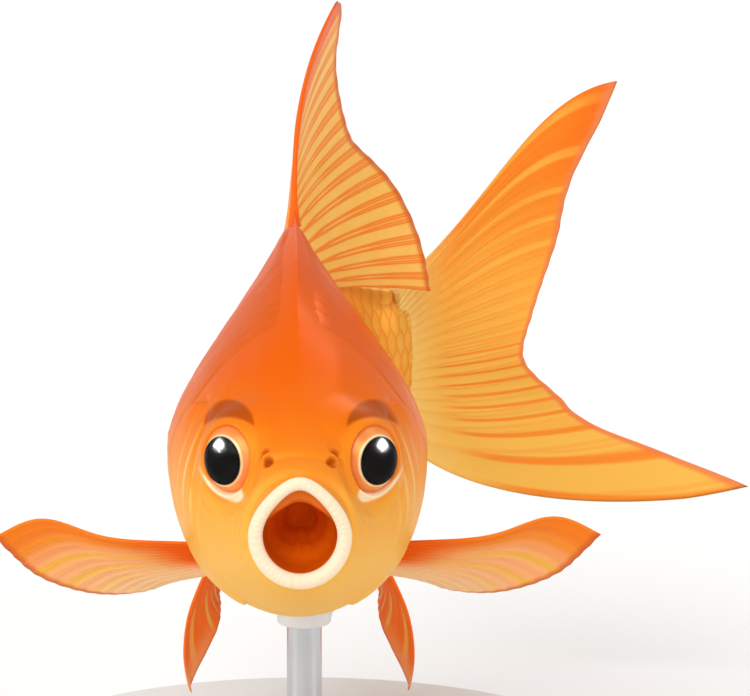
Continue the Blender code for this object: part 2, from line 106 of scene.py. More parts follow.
# %% [markdown]
# ## A midline that bends
#
# A swimming fish is its straight shape bent along a line seen from above. The line's heading is easy to
# write: a slight swing to the right in the trunk, then the tail turning left. Adding up short steps in
# that heading gives the line itself. It is added up once, into a list that is then only looked up.

# %% The midline
STANDARD_LENGTH = 112 * MM
HEAD_YAW, COUNTER_YAW, TAIL_YAW, FIN_YAW = np.radians((-1, -3, 62, 76))
COUNTER_FROM, COUNTER_TO = 42 * MM, 94 * MM
TAIL_BEND_FROM, TAIL_BEND_POWER = 76 * MM, 1.4
FIN_BEND_TO = STANDARD_LENGTH + 35 * MM
MIDLINE_STEP = 0.25 * MM
MIDLINE_LENGTH = 190 * MM


def share(value, start, end):
    """0 before start, 1 after end, in proportion between."""
    return np.clip((value - start) / (end - start), 0, 1)


def ease(value, start, end):
    """As share, but leaving 0 and reaching 1 without a corner."""
    t = share(value, start, end)
    return t * t * (3 - 2 * t)


def bump(value, middle, spread):
    """1 at the middle, falling away smoothly on both sides."""
    return np.exp(-(((value - middle) / spread) ** 2))


def yaw_at(place):
    """The midline's heading: 0 is straight back along +Y, and positive turns to +X."""
    counter = COUNTER_YAW * np.sin(np.pi * share(place, COUNTER_FROM, COUNTER_TO)) ** 2
    bend = TAIL_YAW * share(place, TAIL_BEND_FROM, STANDARD_LENGTH) ** TAIL_BEND_POWER
    easing = np.sin(np.pi / 2 * share(place, STANDARD_LENGTH, FIN_BEND_TO))
    return HEAD_YAW + counter + bend + (FIN_YAW - TAIL_YAW) * easing


def heading(yaw, pitch=0.0):
    """The direction of a yaw, tipped up by a pitch."""
    level = np.cos(pitch)
    parts = np.sin(yaw) * level, np.cos(yaw) * level, np.sin(pitch)
    return np.stack(np.broadcast_arrays(*parts), -1)


def leftwards(yaw):
    """The level direction to the fish's left of a yaw."""
    return np.stack(np.broadcast_arrays(np.cos(yaw), -np.sin(yaw), 0.0), -1)


def upwards(height):
    """Heights as vectors."""
    return np.stack(np.broadcast_arrays(0.0, 0.0, height), -1)


TRACK_PLACES = np.arange(0, MIDLINE_LENGTH, MIDLINE_STEP)
TRACK_STEPS = heading(yaw_at(TRACK_PLACES[:-1] + MIDLINE_STEP / 2)) * MIDLINE_STEP
TRACK = np.vstack((np.zeros(3), np.cumsum(TRACK_STEPS, axis=0)))


def midline(place):
    """(position, heading) of the midline, at snout height, at a place behind the snout."""
    place = np.asarray(place, float)
    spot = np.stack([np.interp(place, TRACK_PLACES, TRACK[:, axis]) for axis in range(3)], -1)
    return SNOUT + spot, yaw_at(place)


print("the tail base is at", midline(STANDARD_LENGTH)[0].round(4))

# %% [markdown]
# ## Round the body
#
# At each place the outline is half an ellipse below. Above, it narrows towards the back, the more so the
# larger the keel. turn is an angle round that outline: 0 on the back, a quarter turn on the left side,
# and a half on the belly.

# %% The surface of the body
STALK_THINS = 110 * MM, 117.5 * MM


def skin_offset(place, turn, grow=0.0):
    """(sideways, height) from the midline to the skin, or to a surface that lies grow outside it."""
    half_width, back, belly, widest = (section(place, column) for column in (WIDTH, BACK, BELLY, WIDEST))
    keel = section(place, KEEL)
    rise = np.cos(turn)
    above = np.clip(rise, 0, 1)
    narrowing = np.clip(1 - above ** (2 - KEEL_SHARPENS * keel), 0, 1) ** (0.5 + KEEL_SLOPES * keel)
    fullness = np.where(rise > 0, narrowing, np.sqrt(np.clip(1 - rise * rise, 0, 1)))
    reach = np.where(rise > 0, back + grow - widest, widest - belly + grow)
    thinning = 1 - ease(place, *STALK_THINS)
    return (half_width + grow) * thinning * fullness * np.sign(np.sin(turn)), widest + reach * rise


def skin_point(place, turn, grow=0.0):
    """The point of the skin at a place behind the snout and a turn round the body."""
    spot, yaw = midline(place)
    sideways, height = skin_offset(place, turn, grow)
    return spot + leftwards(yaw) * sideways[..., None] + upwards(height)


def unit(vectors):
    """The same directions with length 1."""
    return vectors / np.maximum(np.linalg.norm(vectors, axis=-1, keepdims=True), 1e-12)


def skin_normal(place, turn):
    """The outward direction of the body's surface, from two short steps over it."""
    step, turn_step = 0.05 * MM, 0.01
    along = skin_point(place + step, turn) - skin_point(place - step, turn)
    around = skin_point(place, turn + turn_step) - skin_point(place, turn - turn_step)
    return unit(np.cross(around, along))


print("the belly is at", skin_point(np.array(50 * MM), np.array(math.pi)).round(4))

# %% [markdown]
# ## Shader maths in plain Python
#
# A material is a net of nodes, and writing it node by node hides the sum that it works out. Here a Field
# stands for one value that varies over a surface. Adding or multiplying fields adds the Math nodes, so a
# marking reads as arithmetic. Every other node comes from the one method node(), which sets the node's
# settings first.

# %% A field


class Field:
    """A value that varies over a surface. Arithmetic on it adds Math nodes to its material."""

    def __init__(self, tree, socket=None):
        self.tree = tree
        self.socket = socket

    def node(self, kind, settings=None, inputs=None, output=0):
        """One output of a node of a kind, with its settings and the values or fields of its sockets."""
        made = self.tree.nodes.new("ShaderNode" + kind)
        for name, value in (settings or {}).items():
            setattr(made, name, value)
        for name, value in (inputs or {}).items():
            if isinstance(value, Field):
                self.tree.links.new(value.socket, made.inputs[name])
            else:
                made.inputs[name].default_value = value
        return Field(self.tree, made.outputs[output])

    def maths(self, operation, first, second=0.0):
        return self.node("Math", {"operation": operation}, {0: first, 1: second})

    def __add__(self, other):
        return self.maths("ADD", self, other)

    def __sub__(self, other):
        return self.maths("SUBTRACT", self, other)

    def __rsub__(self, other):
        return self.maths("SUBTRACT", other, self)

    def __mul__(self, other):
        return self.maths("MULTIPLY", self, other)

    def __truediv__(self, other):
        return self.maths("DIVIDE", self, other)

    def __pow__(self, other):
        return self.maths("POWER", self, other)

    __radd__ = __add__
    __rmul__ = __mul__

    def sine(self):
        return self.maths("SINE", self)

    def size(self):
        return self.maths("ABSOLUTE", self)

    def rise(self, start, end):
        """0 at start, 1 at end, with no corner at either; start may be above end."""
        return self.node("MapRange", {"interpolation_type": "SMOOTHSTEP"}, {0: self, 1: start, 2: end})

    def peak(self, middle, reach):
        """1 at the middle, easing to 0 at a reach to either side."""
        return (self - middle).size().rise(reach, 0)

    def tint(self, low, high):
        """The colour low where this is 0, and high where it is 1."""
        return self.node("Mix", {"data_type": "RGBA"}, {0: self, 6: low, 7: high}, 2)


print("a field can", ", ".join(name for name in vars(Field) if not name.startswith("_")))

# %% [markdown]
# ## What every finish starts from
#
# Blender's one principled shader can be skin, horn, glass or steel. So each finish here is that shader
# with its plain numbers set straight on it, and fields for the few things that vary: colour, roughness,
# metal and fine relief. The helpers give the fields that they start from: a number that the mesh carries,
# a position on the fish, or grain.

# %% Helpers for finishes


def start_finish(name, **constants):
    """(material, shader, field to start from) with the shader's plain numbers and colours set."""
    material = bpy.data.materials.new(name)
    material.use_nodes = True
    shader = material.node_tree.nodes["Principled BSDF"]
    for socket, value in constants.items():
        shader.inputs[socket.replace("_", " ")].default_value = value
    return material, shader, Field(material.node_tree)


def connect(shader, socket, field):
    """Lets a field drive one of the shader's sockets."""
    field.tree.links.new(field.socket, shader.inputs[socket])


def attribute(start, name):
    """A number that the mesh carries at each point."""
    return start.node("Attribute", {"attribute_name": name}, output=2)


def position(start):
    """(across, back, up) as fields in millimetres from the snout. across is the same on both sides."""
    place = start.node("NewGeometry")
    parts = [place.node("SeparateXYZ", inputs={0: place}, output=axis) for axis in range(3)]
    x, y, z = ((part - float(SNOUT[axis])) / MM for axis, part in enumerate(parts))
    return x.size(), y, z


def grain(start, scale, detail=3.0, roughness=0.5):
    """Fine noise in the object's own metres, from 0 to 1."""
    where = start.node("TexCoord", output=3)
    settings = {"Vector": where, "Scale": scale, "Detail": detail, "Roughness": roughness}
    return start.node("TexNoise", inputs=settings)


def relief(start, height, depth, strength=1.0):
    """The normal of a surface whose fine relief is height, from 0 to 1, times depth in metres."""
    return start.node("Bump", inputs={"Height": height, "Distance": depth, "Strength": strength})


print("ready to mix finishes")

# %% [markdown]
# ## Where the eyes look
#
# A goldfish's eyes look sideways and a little forward. The marks of the face, the sockets and the eyes
# themselves all have to agree on that, so the left eye gets one small frame of its own: a centre, the
# direction in which it looks, and what is up and sideways to it. The right eye is its mirror image.

# %% The left eye's own directions
EYE_CENTRE = np.array((7.1, 12.4, 7.0))
EYE_LOOKS = unit(np.array((0.66, -0.72, 0.06)))
EYE_UP = unit(np.array((0.0, 0.0, 1.0)) - EYE_LOOKS[2] * EYE_LOOKS)
EYE_SIDE = np.cross(EYE_UP, EYE_LOOKS)
print("the eye looks", EYE_LOOKS.round(3))

# %% [markdown]
# ## The marks of the face
#
# The face adds its own marks to the fish's colour: a brown arc over each eye and a cream crescent under it.
# It also gets painted shade and painted highlights: an amber ring round each eye is painted shade round the
# socket's rim, and pale streaks down the cheek are painted highlights where the gill cover's folds would
# catch the light. They could all be painted on the mesh point by point, but then their edges would be as
# coarse as its grid. So they are sums of fields. The arc and the crescent are what is left of one circle when
# another is taken away, drawn on the face as it is met from in front. A position's distance across is the
# same number on both sides, so each mark is written once.

# %% Colours and face marks
DEEP_ORANGE = (0.75, 0.088, 0.0, 1)
ORANGE = (0.80, 0.115, 0.0, 1)
AMBER = (0.86, 0.26, 0.014, 1)
GOLD = (0.86, 0.46, 0.075, 1)
PALE_GOLD = (0.87, 0.58, 0.17, 1)
CREAM = (0.92, 0.76, 0.50, 1)
BROW_ARC_AND_NOSTRIL_SHADE = (0.44, 0.070, 0.002, 1)
WARM_SHINE = (1.0, 0.6, 0.35, 1)

# circles are (across, height on the face, radius), and the rest are places behind the snout, all in mm
BROW = ((8.65, 13.4, 3.13), (8.65, 9.4, 5.05))
CRESCENT, CRESCENT_END = ((6.8, 9.9, 5.65), (7.95, 10.6, 4.83)), (7.7, 5.2, 0.85)
FACE_FRONT, FACE_REAR, BROW_REAR = (1.5, 3.0), (20.5, 17.0), (24.0, 21.0)
SOCKET_SHADE_RING, SOCKET_SHADE_WIDTH = 4.6, 1.5
MARK_EDGE = 0.25
FACE_TILT = math.radians(13)


def along_axis(across, back, up, centre, axis):
    """How far a position is along an axis through a centre, as a field."""
    return (across - centre[0]) * axis[0] + (back - centre[1]) * axis[1] + (up - centre[2]) * axis[2]


def between_circles(across, tall, circles):
    """1 inside the first circle and outside the second, each given as (across, tall, radius)."""
    inside, outside = (((across - x) ** 2 + (tall - y) ** 2) ** 0.5 - r for x, y, r in circles)
    return inside.rise(MARK_EDGE, -MARK_EDGE) * outside.rise(-MARK_EDGE, MARK_EDGE)


def face_marks(colour, across, back, up, patchy):
    """Adds the brown arc over each eye and the cream crescent under it, with an amber ring of painted shade
    round each eye and pale streaks of painted highlight on the cheek.
    """
    eye_right, eye_above = (along_axis(across, back, up, EYE_CENTRE, axis) for axis in (EYE_SIDE, EYE_UP))
    ring = (eye_right * eye_right + eye_above * eye_above) ** 0.5
    on_face = back.rise(*FACE_FRONT) * back.rise(*FACE_REAR)
    # painted highlight: pale gold streaks down the cheek, where the gill cover's folds would catch the light
    streak = (eye_right * 2.1 + eye_above * 0.5 + patchy * 2.0).sine().rise(0.45, 1.0)
    cheek = eye_above.peak(-4.5, 9.0) * back.peak(20.0, 8.0)
    colour = (streak * cheek * 0.8).tint(colour, PALE_GOLD)
    # painted shade: an amber ring round each eye, just outside the socket's rim
    colour = (ring.peak(SOCKET_SHADE_RING, SOCKET_SHADE_WIDTH) * on_face * 0.5).tint(colour, AMBER)
    tall = up * math.cos(FACE_TILT) + back * math.sin(FACE_TILT)
    x, y, r = CRESCENT_END
    blunt_end = (((across - x) ** 2 + (tall - y) ** 2) ** 0.5).rise(r + MARK_EDGE, r - MARK_EDGE)
    crescent = between_circles(across, tall, CRESCENT) * across.rise(x - 0.3, x + 0.3)
    colour = (crescent.maths("MAXIMUM", crescent, blunt_end) * on_face * 0.95).tint(colour, CREAM)
    brow = between_circles(across, tall, BROW) * back.rise(*BROW_REAR)
    return (brow * 0.95).tint(colour, BROW_ARC_AND_NOSTRIL_SHADE)


print("each brow is", round(2 * BROW[0][2], 1), "mm across")

# %% [markdown]
# ## The colour of the flesh
#
# A goldfish is deep orange above and pale gold below, and turns gold again towards its tail. The colour
# is in the skin and in the scales alike, so it is one function of position that both finishes call. Each
# band of colour is one row of a table, laid over the bands before it.

# %% Bands of colour
LEVEL_RISES, TAIL_SLANTS, PATCHES = 0.17, 0.3, 3.0
# where each colour starts and is full, in mm: up the body, and then towards the tail
BY_LEVEL = ((-6.0, 13.5, AMBER), (3.0, 21.0, ORANGE), (19.0, 42.0, DEEP_ORANGE), (-7.0, -18.0, PALE_GOLD))
BY_PLACE = ((80.0, 104.0, AMBER), (96.0, 120.0, GOLD))


def flesh_colour(start):
    """The colour of skin and scales, with the marks of the face."""
    across, back, up = position(start)
    patchy = grain(start, 60.0) - 0.5
    place = attribute(start, "place")
    level = up + place * LEVEL_RISES + patchy * PATCHES
    colour = GOLD
    for first, full, shade in BY_LEVEL:
        colour = level.rise(first, full).tint(colour, shade)
    colour = face_marks(colour, across, back, up, patchy)
    tailwards = place + up * TAIL_SLANTS
    for first, full, shade in BY_PLACE:
        colour = tailwards.rise(first, full).tint(colour, shade)
    return colour


print("bands of colour:", len(BY_LEVEL) + len(BY_PLACE))

# %% [markdown]
# ## The rings of the skin
#
# The skin could be cut from a subdivided cage, but the mouth asks for more: the same sheet of skin runs
# out of the throat, over the lips and on over the face. So it is one grid. Its rings start deep in the
# throat, come forward, roll over the lips and then follow the body back to the tail. Rings lie closer
# together on the head, and the points in a ring lie closer over the eyes, where the relief is finest.

# %% Turns round each ring
AROUND = 312
EYE_TURN = math.radians(65)


def spread_turns(count):
    """Angles from 0 to a whole turn, closer together over the eyes and on the back."""
    fine = np.linspace(-math.pi, math.pi, 4001)
    density = 1 + 1.1 * bump(np.abs(fine), EYE_TURN, 0.42) + 0.5 * bump(fine, 0, 0.3)
    reached = np.concatenate(([0], np.cumsum(density[:-1] + density[1:])))
    shares = np.arange(count) / count
    return np.interp(shares, reached / reached[-1], fine)


TURNS = spread_turns(AROUND)
STEPS = np.degrees(np.diff(TURNS))
print("widest step", STEPS.max().round(2), "degrees, closest", STEPS.min().round(2))

# %% [markdown]
# ## Mouth and lips
#
# The mouth is open in a round O with a soft peak at the top. A lip is a roll of flesh, so its rings are
# steps round a small circle, from the crease outside it to the crease inside. The throat then narrows
# behind, with a fold of membrane hanging inside the upper lip, as carp and goldfish have, and ridges
# like those of gill arches.

# %% Rings of the throat and lips
MOUTH_HALF_WIDTH, MOUTH_HALF_HEIGHT, MOUTH_PEAK, MOUTH_PEAK_POWER = 5.3 * MM, 5.6 * MM, 0.7 * MM, 6
MOUTH_RAISE, LIP_FORWARD = 0.5 * MM, 0.2 * MM
LIP_RADIUS, LIP_FULLER_BELOW = 0.88 * MM, 0.10
LIP_OUTER, LIP_INNER = math.radians(-38), math.radians(222)
LIP_RINGS = 22
THROAT_DEPTH, THROAT_RINGS = 9.5 * MM, 26
THROAT_START = 1.0 * MM
VALVE_DEPTH, VALVE_HANG, VALVE_PEAK = 1.4 * MM, 1.5 * MM, 0.15
MOUTH_NARROWS = 0.13


def mouth_ring(turn, radius_change, back):
    """A ring round the mouth: wider than the lips' middle by radius_change, and back behind the snout."""
    rise = np.cos(turn)
    peak = MOUTH_PEAK * np.clip(rise, 0, 1) ** MOUTH_PEAK_POWER
    narrower = 1 - MOUTH_NARROWS * np.clip(rise, 0, 1) ** 1.5
    x = (MOUTH_HALF_WIDTH + radius_change) * np.sin(turn) * narrower
    z = MOUTH_RAISE + (MOUTH_HALF_HEIGHT + radius_change) * rise + peak
    return SNOUT + np.stack(np.broadcast_arrays(x, back, z), -1)


def throat_ring(share_in, turn):
    """A ring of the throat, from 0 behind the lips to 1 at its end."""
    depth = THROAT_START + (THROAT_DEPTH - THROAT_START) * share_in
    narrowing = (LIP_RADIUS - 0.1 * MM) + 2.9 * MM * share_in**1.6
    hang = VALVE_HANG * (np.clip(np.cos(turn), 0, 1) ** 1.3 + VALVE_PEAK * bump(turn, 0, 0.35))
    valve = hang * bump(depth, VALVE_DEPTH, 0.6 * MM)
    arches = 0.10 * MM * np.sin(depth / (0.42 * MM)) * ease(share_in, 0.35, 0.7)
    folds = 0.06 * MM * np.sin(turn * 14) * ease(share_in, 0.1, 0.3)
    tongue = 0.8 * MM * bump(np.abs(turn), math.pi, 0.6) * ease(share_in, 0.1, 0.6)
    return mouth_ring(turn, -narrowing - valve - arches - folds - tongue, depth)


def lip_ring(share_out, turn):
    """A ring of the lips, from 0 at the inner crease to 1 at the outer one."""
    angle = LIP_INNER + (LIP_OUTER - LIP_INNER) * share_out
    fuller = 1 - LIP_FULLER_BELOW * np.cos(turn)
    wrinkle = 0.035 * MM * np.sin(turn * 46 + 3 * np.sin(turn * 5)) * bump(angle, 1.5, 0.9)
    radius = LIP_RADIUS * fuller + wrinkle
    return mouth_ring(turn, radius * math.cos(angle), LIP_FORWARD - radius * math.sin(angle))


inside = [throat_ring(k, TURNS) for k in np.linspace(1, 0, THROAT_RINGS)]
lips = [lip_ring(k, TURNS) for k in np.linspace(0, 1, LIP_RINGS)]
print("mouth", round(2 * (MOUTH_HALF_WIDTH - LIP_RADIUS) / MM, 1), "mm wide inside the lips")

# %% [markdown]
# ## Folds round the mouth, and nostrils
#
# A goldfish's head has no scales, and it is the detail there that makes it look alive. It could be
# sculpted by hand, but here each detail is a small height over the surface, in millimetres, written as a
# few bumps: a groove is a bump below zero. The first are the folds that let the mouth stretch, and the
# two openings of each nostril with a flap between.

# %% Heights near the mouth
HEAD_INSET = 0.12 * MM
NOSTRIL_PLACES, NOSTRIL_TURNS = np.array((4.6, 6.0)) * MM, np.radians((30.0, 33.0))
NOSTRILS = skin_point(NOSTRIL_PLACES, NOSTRIL_TURNS, -HEAD_INSET)
FOLDS_START, FOLDS_SHARE, FOLDS_SWEEP = 1.5, 0.6, 0.9
# height, place behind the start and spread of the folds all round the mouth, and of those above it only
FOLDS_ROUND = ((-0.34, 0.35, 0.38), (0.26, 1.35, 0.62))
FOLDS_ABOVE = ((-0.30, 2.7, 0.42), (0.20, 3.8, 0.8))
CORNER_TURN, CORNER_OPENS, CORNER_SPREAD = math.radians(104), 0.03, 0.075


def mouth_folds(back, turn):
    """Creases that open like a bellows when the mouth is pushed forward."""
    out = back - FOLDS_START
    upper = ease(np.cos(turn), -0.45, 0.15)
    sweep = FOLDS_SWEEP * np.sin(turn) ** 2
    all_round = sum(height * bump(out, place, spread) for height, place, spread in FOLDS_ROUND)
    above = sum(height * bump(out, place + sweep, spread) for height, place, spread in FOLDS_ABOVE)
    corner = bump(np.abs(turn), CORNER_TURN + CORNER_OPENS * out, CORNER_SPREAD) * ease(out, 6.0, 2.0)
    chin = bump(np.abs(turn), math.pi, 0.10) * ease(out, 7.0, 2.0)
    return FOLDS_SHARE * (all_round + upper * above - 0.30 * corner * ease(out, 0.0, 0.8) - 0.12 * chin)


def nostrils(spot):
    """The front opening is round, the rear one a wider slot, and a thin flap stands between them."""
    front_at, rear_at = (NOSTRILS - SNOUT) / MM
    middle = (front_at + rear_at) / 2
    front = np.linalg.norm(spot - front_at, axis=-1)
    rear = np.linalg.norm((spot - rear_at) * (0.8, 1.25, 0.8), axis=-1)
    flap = np.linalg.norm((spot - middle) * (0.75, 1.5, 0.75), axis=-1)
    mound = 0.30 * bump(np.linalg.norm(spot - middle, axis=-1), 0, 2.1)
    return mound + 0.40 * bump(flap, 0, 0.55) - 1.5 * bump(front, 0, 0.48) - 1.5 * bump(rear, 0, 0.62)


print("nostrils", round(2 * NOSTRILS[0][0] / MM, 1), "mm apart")

# %% [markdown]
# ## Round the eye, and the gill cover
#
# Round the eye run a soft brow, a groove and a pouch. Behind the cheek lies the gill cover: a plate of
# bone that rises towards its free rear edge, with a groove ahead of it and the rays of the gill membrane
# below. Its edge is an oval as seen from the side, flatter in front than behind. The scales will start
# behind the same edge, so it is a function of its own.

# %% Heights of the eye's rim and the gill cover
GILL_PLACE, GILL_HEIGHT = 24.5, -1.0
GILL_FRONT, GILL_REAR, GILL_UP, GILL_DOWN = 7.0, 9.0, 12.0, 12.5
GILL_SLANT_UP, GILL_SLANT_DOWN = 1.0, 2.5
# height, distance from the eye's axis and spread
EYE_MOUND, EYE_BROW, EYE_GROOVE = (0.10, 4.6, 2.0), (0.42, 6.1, 0.95), (-0.22, 5.15, 0.33)
EYE_POUCH, POUCH_CREASE = (0.22, 6.3, 0.8), (-0.15, 7.6, 0.5)


def gill_outline(back, up):
    """(1 on the gill cover's edge and less inside, the direction from its middle), from a side view in mm."""
    rough_up = (up - GILL_HEIGHT) / np.where(up > GILL_HEIGHT, GILL_UP, GILL_DOWN)
    slant = np.where(rough_up > 0, GILL_SLANT_UP, GILL_SLANT_DOWN) * np.clip(rough_up**2, 0, 1)
    along = back - GILL_PLACE + slant
    rough_back = along / np.where(along > 0, GILL_REAR, GILL_FRONT)
    return np.hypot(rough_back, rough_up), np.arctan2(rough_up, rough_back)


def eye_frame(spot):
    """(along the eye's axis, distance from the axis, share above the eye) in mm."""
    from_centre = spot - EYE_CENTRE
    along = from_centre @ EYE_LOOKS
    ring = np.linalg.norm(from_centre - along[..., None] * EYE_LOOKS, axis=-1)
    return along, ring, (from_centre @ EYE_UP) / np.maximum(ring, 0.1)


def ring_bump(ring, shape):
    """A rise all round the eye, from a shape of (height, distance from the axis, spread)."""
    height, middle, spread = shape
    return height * bump(ring, middle, spread)


def round_the_eye(spot):
    """A mound, and on it a brow above, a groove all round and a pouch below the eye."""
    along, ring, above = eye_frame(spot)
    brow = ring_bump(ring, EYE_BROW) * ease(above, 0.35, 0.9)
    groove = ring_bump(ring, EYE_GROOVE) * (0.4 + 0.6 * np.abs(above))
    pouch = ring_bump(ring, EYE_POUCH) * ease(-above, 0.2, 0.8)
    pouch = pouch + ring_bump(ring, POUCH_CREASE) * ease(-above, 0.1, 0.8)
    return ease(along, -3.0, 0.0) * (ring_bump(ring, EYE_MOUND) + brow + groove + pouch)


def gill_cover(back, up):
    """A plate that rises to a free rear edge, a groove ahead of it, and the rays of the membrane under it."""
    edge, direction = gill_outline(back, up)
    rearward = ease(np.cos(direction), -0.62, -0.1)
    rearward = rearward * np.where(direction < 0, 1, ease(np.cos(direction), -0.1, 0.35))
    plate = 0.50 * ease(edge, 0.45, 0.97) * ease(edge, 1.012, 0.985)
    opening = -0.42 * bump(edge, 1.02, 0.055) * (edge > 1.0)
    ahead = ease(-np.cos(direction), 0.0, 0.5)
    groove = -0.26 * bump(edge, 1.0, 0.055) + 0.22 * bump(edge, 1.16, 0.10)
    suture = -0.14 * bump(up - GILL_HEIGHT + 0.30 * (back - GILL_PLACE), -5.4, 0.35) * ease(edge, 1.0, 0.9)
    rays = 0.10 * np.sin(edge * 42) * bump(edge, 1.16, 0.12) * ease(-np.sin(direction), 0.5, 0.9)
    return rearward * (plate + opening) + ahead * groove + suture + rays


def head_relief(place, turn, points):
    """The height of the head's relief at each point of the skin, in metres."""
    spot = (points - SNOUT) / MM
    spot[..., 0] = np.abs(spot[..., 0])
    across, back, up = np.moveaxis(spot, -1, 0)
    skull = 0.25 * bump(across, 4.5, 1.5) * bump(back, 19.0, 6.0) * ease(np.cos(turn), 0.3, 0.8)
    mouth = mouth_folds(place / MM, turn) + nostrils(spot)
    fade = ease(place / MM, 45.0, 38.0)
    return fade * (mouth + round_the_eye(spot) + gill_cover(back, up) + skull) * MM


print("gill cover from place", GILL_PLACE - GILL_FRONT, "to", GILL_PLACE + GILL_REAR, "mm")

# %% [markdown]
# ## Sockets for the eyes
#
# Under the eyeball the skin has to dip out of sight, and round it stand up as a soft rim. That is a move
# along the eye's own axis, not along the skin's normal, so that the rim is round when the eye is looked
# at straight on.

# %% Press the sockets in
EYE_RADIUS, EYE_FLATNESS = 4.7, 0.93
EYE_OPENING = 3.95
SOCKET_DEPTH = 0.9
RIM_HEIGHT, RIM_WIDTH = 0.34, 0.42
ORBIT_REACH, ORBIT_SHARE, ORBIT_SLOPE = 8.0, 0.8, 0.3


def eyeball_height(ring):
    """How far out along its axis the eyeball's surface is, at a distance from the axis, in mm."""
    return EYE_RADIUS * EYE_FLATNESS * np.sqrt(np.clip(1 - (ring / EYE_RADIUS) ** 2, 0, 1))


def press_sockets(points):
    """Moves points of the skin along the eye's axis: out of sight under the eyeball, and up into its rim."""
    spot = (points - SNOUT) / MM
    side = np.sign(spot[..., 0])
    spot[..., 0] = np.abs(spot[..., 0])
    along, ring, _ = eye_frame(spot)
    near = (along > -4.0) & (ring < 9.0)
    orbit = eyeball_height(EYE_OPENING) + 0.15 - ORBIT_SLOPE * (ring - EYE_OPENING)
    weight = ORBIT_SHARE * ease(ring, ORBIT_REACH, EYE_OPENING + 0.3) * ease(along, -4.0, -2.0)
    level = along + (orbit - along) * weight
    inside_rim = ease(ring, EYE_OPENING + 0.30, EYE_OPENING - 0.25)
    sunk = np.minimum(level, eyeball_height(ring) - SOCKET_DEPTH)
    rim = level + RIM_HEIGHT * bump(ring, EYE_OPENING + 0.42, RIM_WIDTH)
    moved = sunk * inside_rim + rim * (1 - inside_rim)
    shift = np.where(near, moved - along, 0.0)[..., None] * EYE_LOOKS
    shift[..., 0] *= side
    return points + shift * MM


print("each eye's opening is", round(2 * EYE_OPENING, 1), "mm across")

# %% [markdown]
# ## From arrays to meshes
#
# Everything on this fish is a grid of points that NumPy has worked out. Such a grid could be drawn in
# bmesh one face at a time, but it is quicker to number all its corners at once. These helpers do so for
# every piece that follows, and also lay on the unwrap, which says where each corner of a face goes when
# its finish is baked.

# %% Helpers for meshes


def surface_normals(rings):
    """Outward normals of a grid of rings that close on themselves."""
    along = np.gradient(rings, axis=0)
    around = np.roll(rings, -1, axis=1) - np.roll(rings, 1, axis=1)
    return unit(np.cross(around, along))


def grid_faces(rows, columns, closed):
    """Corner numbers of a grid's quads, which face along columns x rows. Its rows close up if closed."""
    corner = np.arange(rows * columns).reshape(rows, columns)
    here, beside = corner, np.roll(corner, -1, axis=1)
    if not closed:
        here, beside = corner[:, :-1], corner[:, 1:]
    return np.stack((here[:-1], beside[:-1], beside[1:], here[1:]), -1).reshape(-1, 4)


def mesh_object(name, points, faces, numbers=None):
    """A smooth-shaded object from points, faces and named numbers at the points."""
    mesh = bpy.data.meshes.new(name)
    mesh.from_pydata(points.tolist(), [], [list(face) for face in faces])
    mesh.shade_smooth()
    for key, values in (numbers or {}).items():
        layer = mesh.attributes.new(key, "FLOAT", "POINT")
        layer.data.foreach_set("value", np.ascontiguousarray(values, dtype=np.float32).ravel())
    made = bpy.data.objects.new(name, mesh)
    bpy.context.scene.collection.objects.link(made)
    return made


def add_map(obj, coordinates):
    """The unwrap that a finish is baked through: a place on the unit square for each face corner."""
    layer = obj.data.uv_layers.new(name="OFBake")
    layer.data.foreach_set("uv", np.ascontiguousarray(coordinates, dtype=np.float32).ravel())


print("a grid of 2 by 2 points has the face", grid_faces(2, 2, False).tolist())

# %% [markdown]
# ## One skin
#
# The body's rings now follow the lips'. The skin lies a little inside the packed solids, by a tenth of a
# millimetre on the bare head and by the thickness of the scales on the trunk. The rings are joined into
# one mesh, which carries two numbers for the finish: mouth, which is 0 on the face, 1 on the lips and
# more in the throat, and place, the distance behind the snout. The colours follow that distance even
# where the tail bends away.

# %% Build the skin
COAT_DEPTH, RIDGE_SHALLOWER = 0.46 * MM, 0.85
COAT_FROM, COAT_FULL = 27 * MM, 34 * MM
BODY_SPACING = ((1.6, 12.0, 0.18), (12.0, 38.0, 0.25), (38.0, 115.5, 0.75))


def flesh_inset(place, turn):
    """How far inside the solid the skin lies: deeper under the scales, but less so along the back's ridge."""
    covered = ease(place, COAT_FROM, COAT_FULL) * (1 - RIDGE_SHALLOWER * bump(turn, 0, 0.5))
    return HEAD_INSET + (COAT_DEPTH - HEAD_INSET) * covered


stretches = [np.arange(start, end, spacing) for start, end, spacing in BODY_SPACING]
places = np.concatenate(stretches + [[BODY_SPACING[-1][1]]]) * MM
place_grid, turn_grid = np.meshgrid(places, TURNS, indexing="ij")
body_rings = skin_point(place_grid, turn_grid, -flesh_inset(place_grid, turn_grid))
normals = surface_normals(body_rings)
body_rings = press_sockets(body_rings + normals * head_relief(place_grid, turn_grid, body_rings)[..., None])
skin_rings = np.concatenate((np.array(inside), np.array(lips), body_rings))
place_number = np.concatenate((np.zeros(THROAT_RINGS + LIP_RINGS), places / MM))
mouth_number = np.concatenate(
    (2 - np.linspace(0, 1, THROAT_RINGS), 1 - 0.9 * np.linspace(0, 1, LIP_RINGS) ** 3, np.zeros(len(places)))
)
skin_faces = [list(face) for face in grid_faces(len(skin_rings), AROUND, True)]
skin_faces.append(list(range(AROUND))[::-1])
skin_faces.append(list(range((len(skin_rings) - 1) * AROUND, len(skin_rings) * AROUND)))
skin = mesh_object(
    "skin",
    skin_rings.reshape(-1, 3),
    skin_faces,
    {"mouth": np.repeat(mouth_number, AROUND), "place": np.repeat(place_number, AROUND)},
)
print("the skin has", len(skin.data.vertices), "points")

# %% [markdown]
# ## Unwrap the skin
#
# A grid unwraps by itself: across is the way round a ring, and up is how far the rings have gone from
# the throat to the tail. The two ends are closed by one many-sided face each, which go along the lower
# and upper edges.

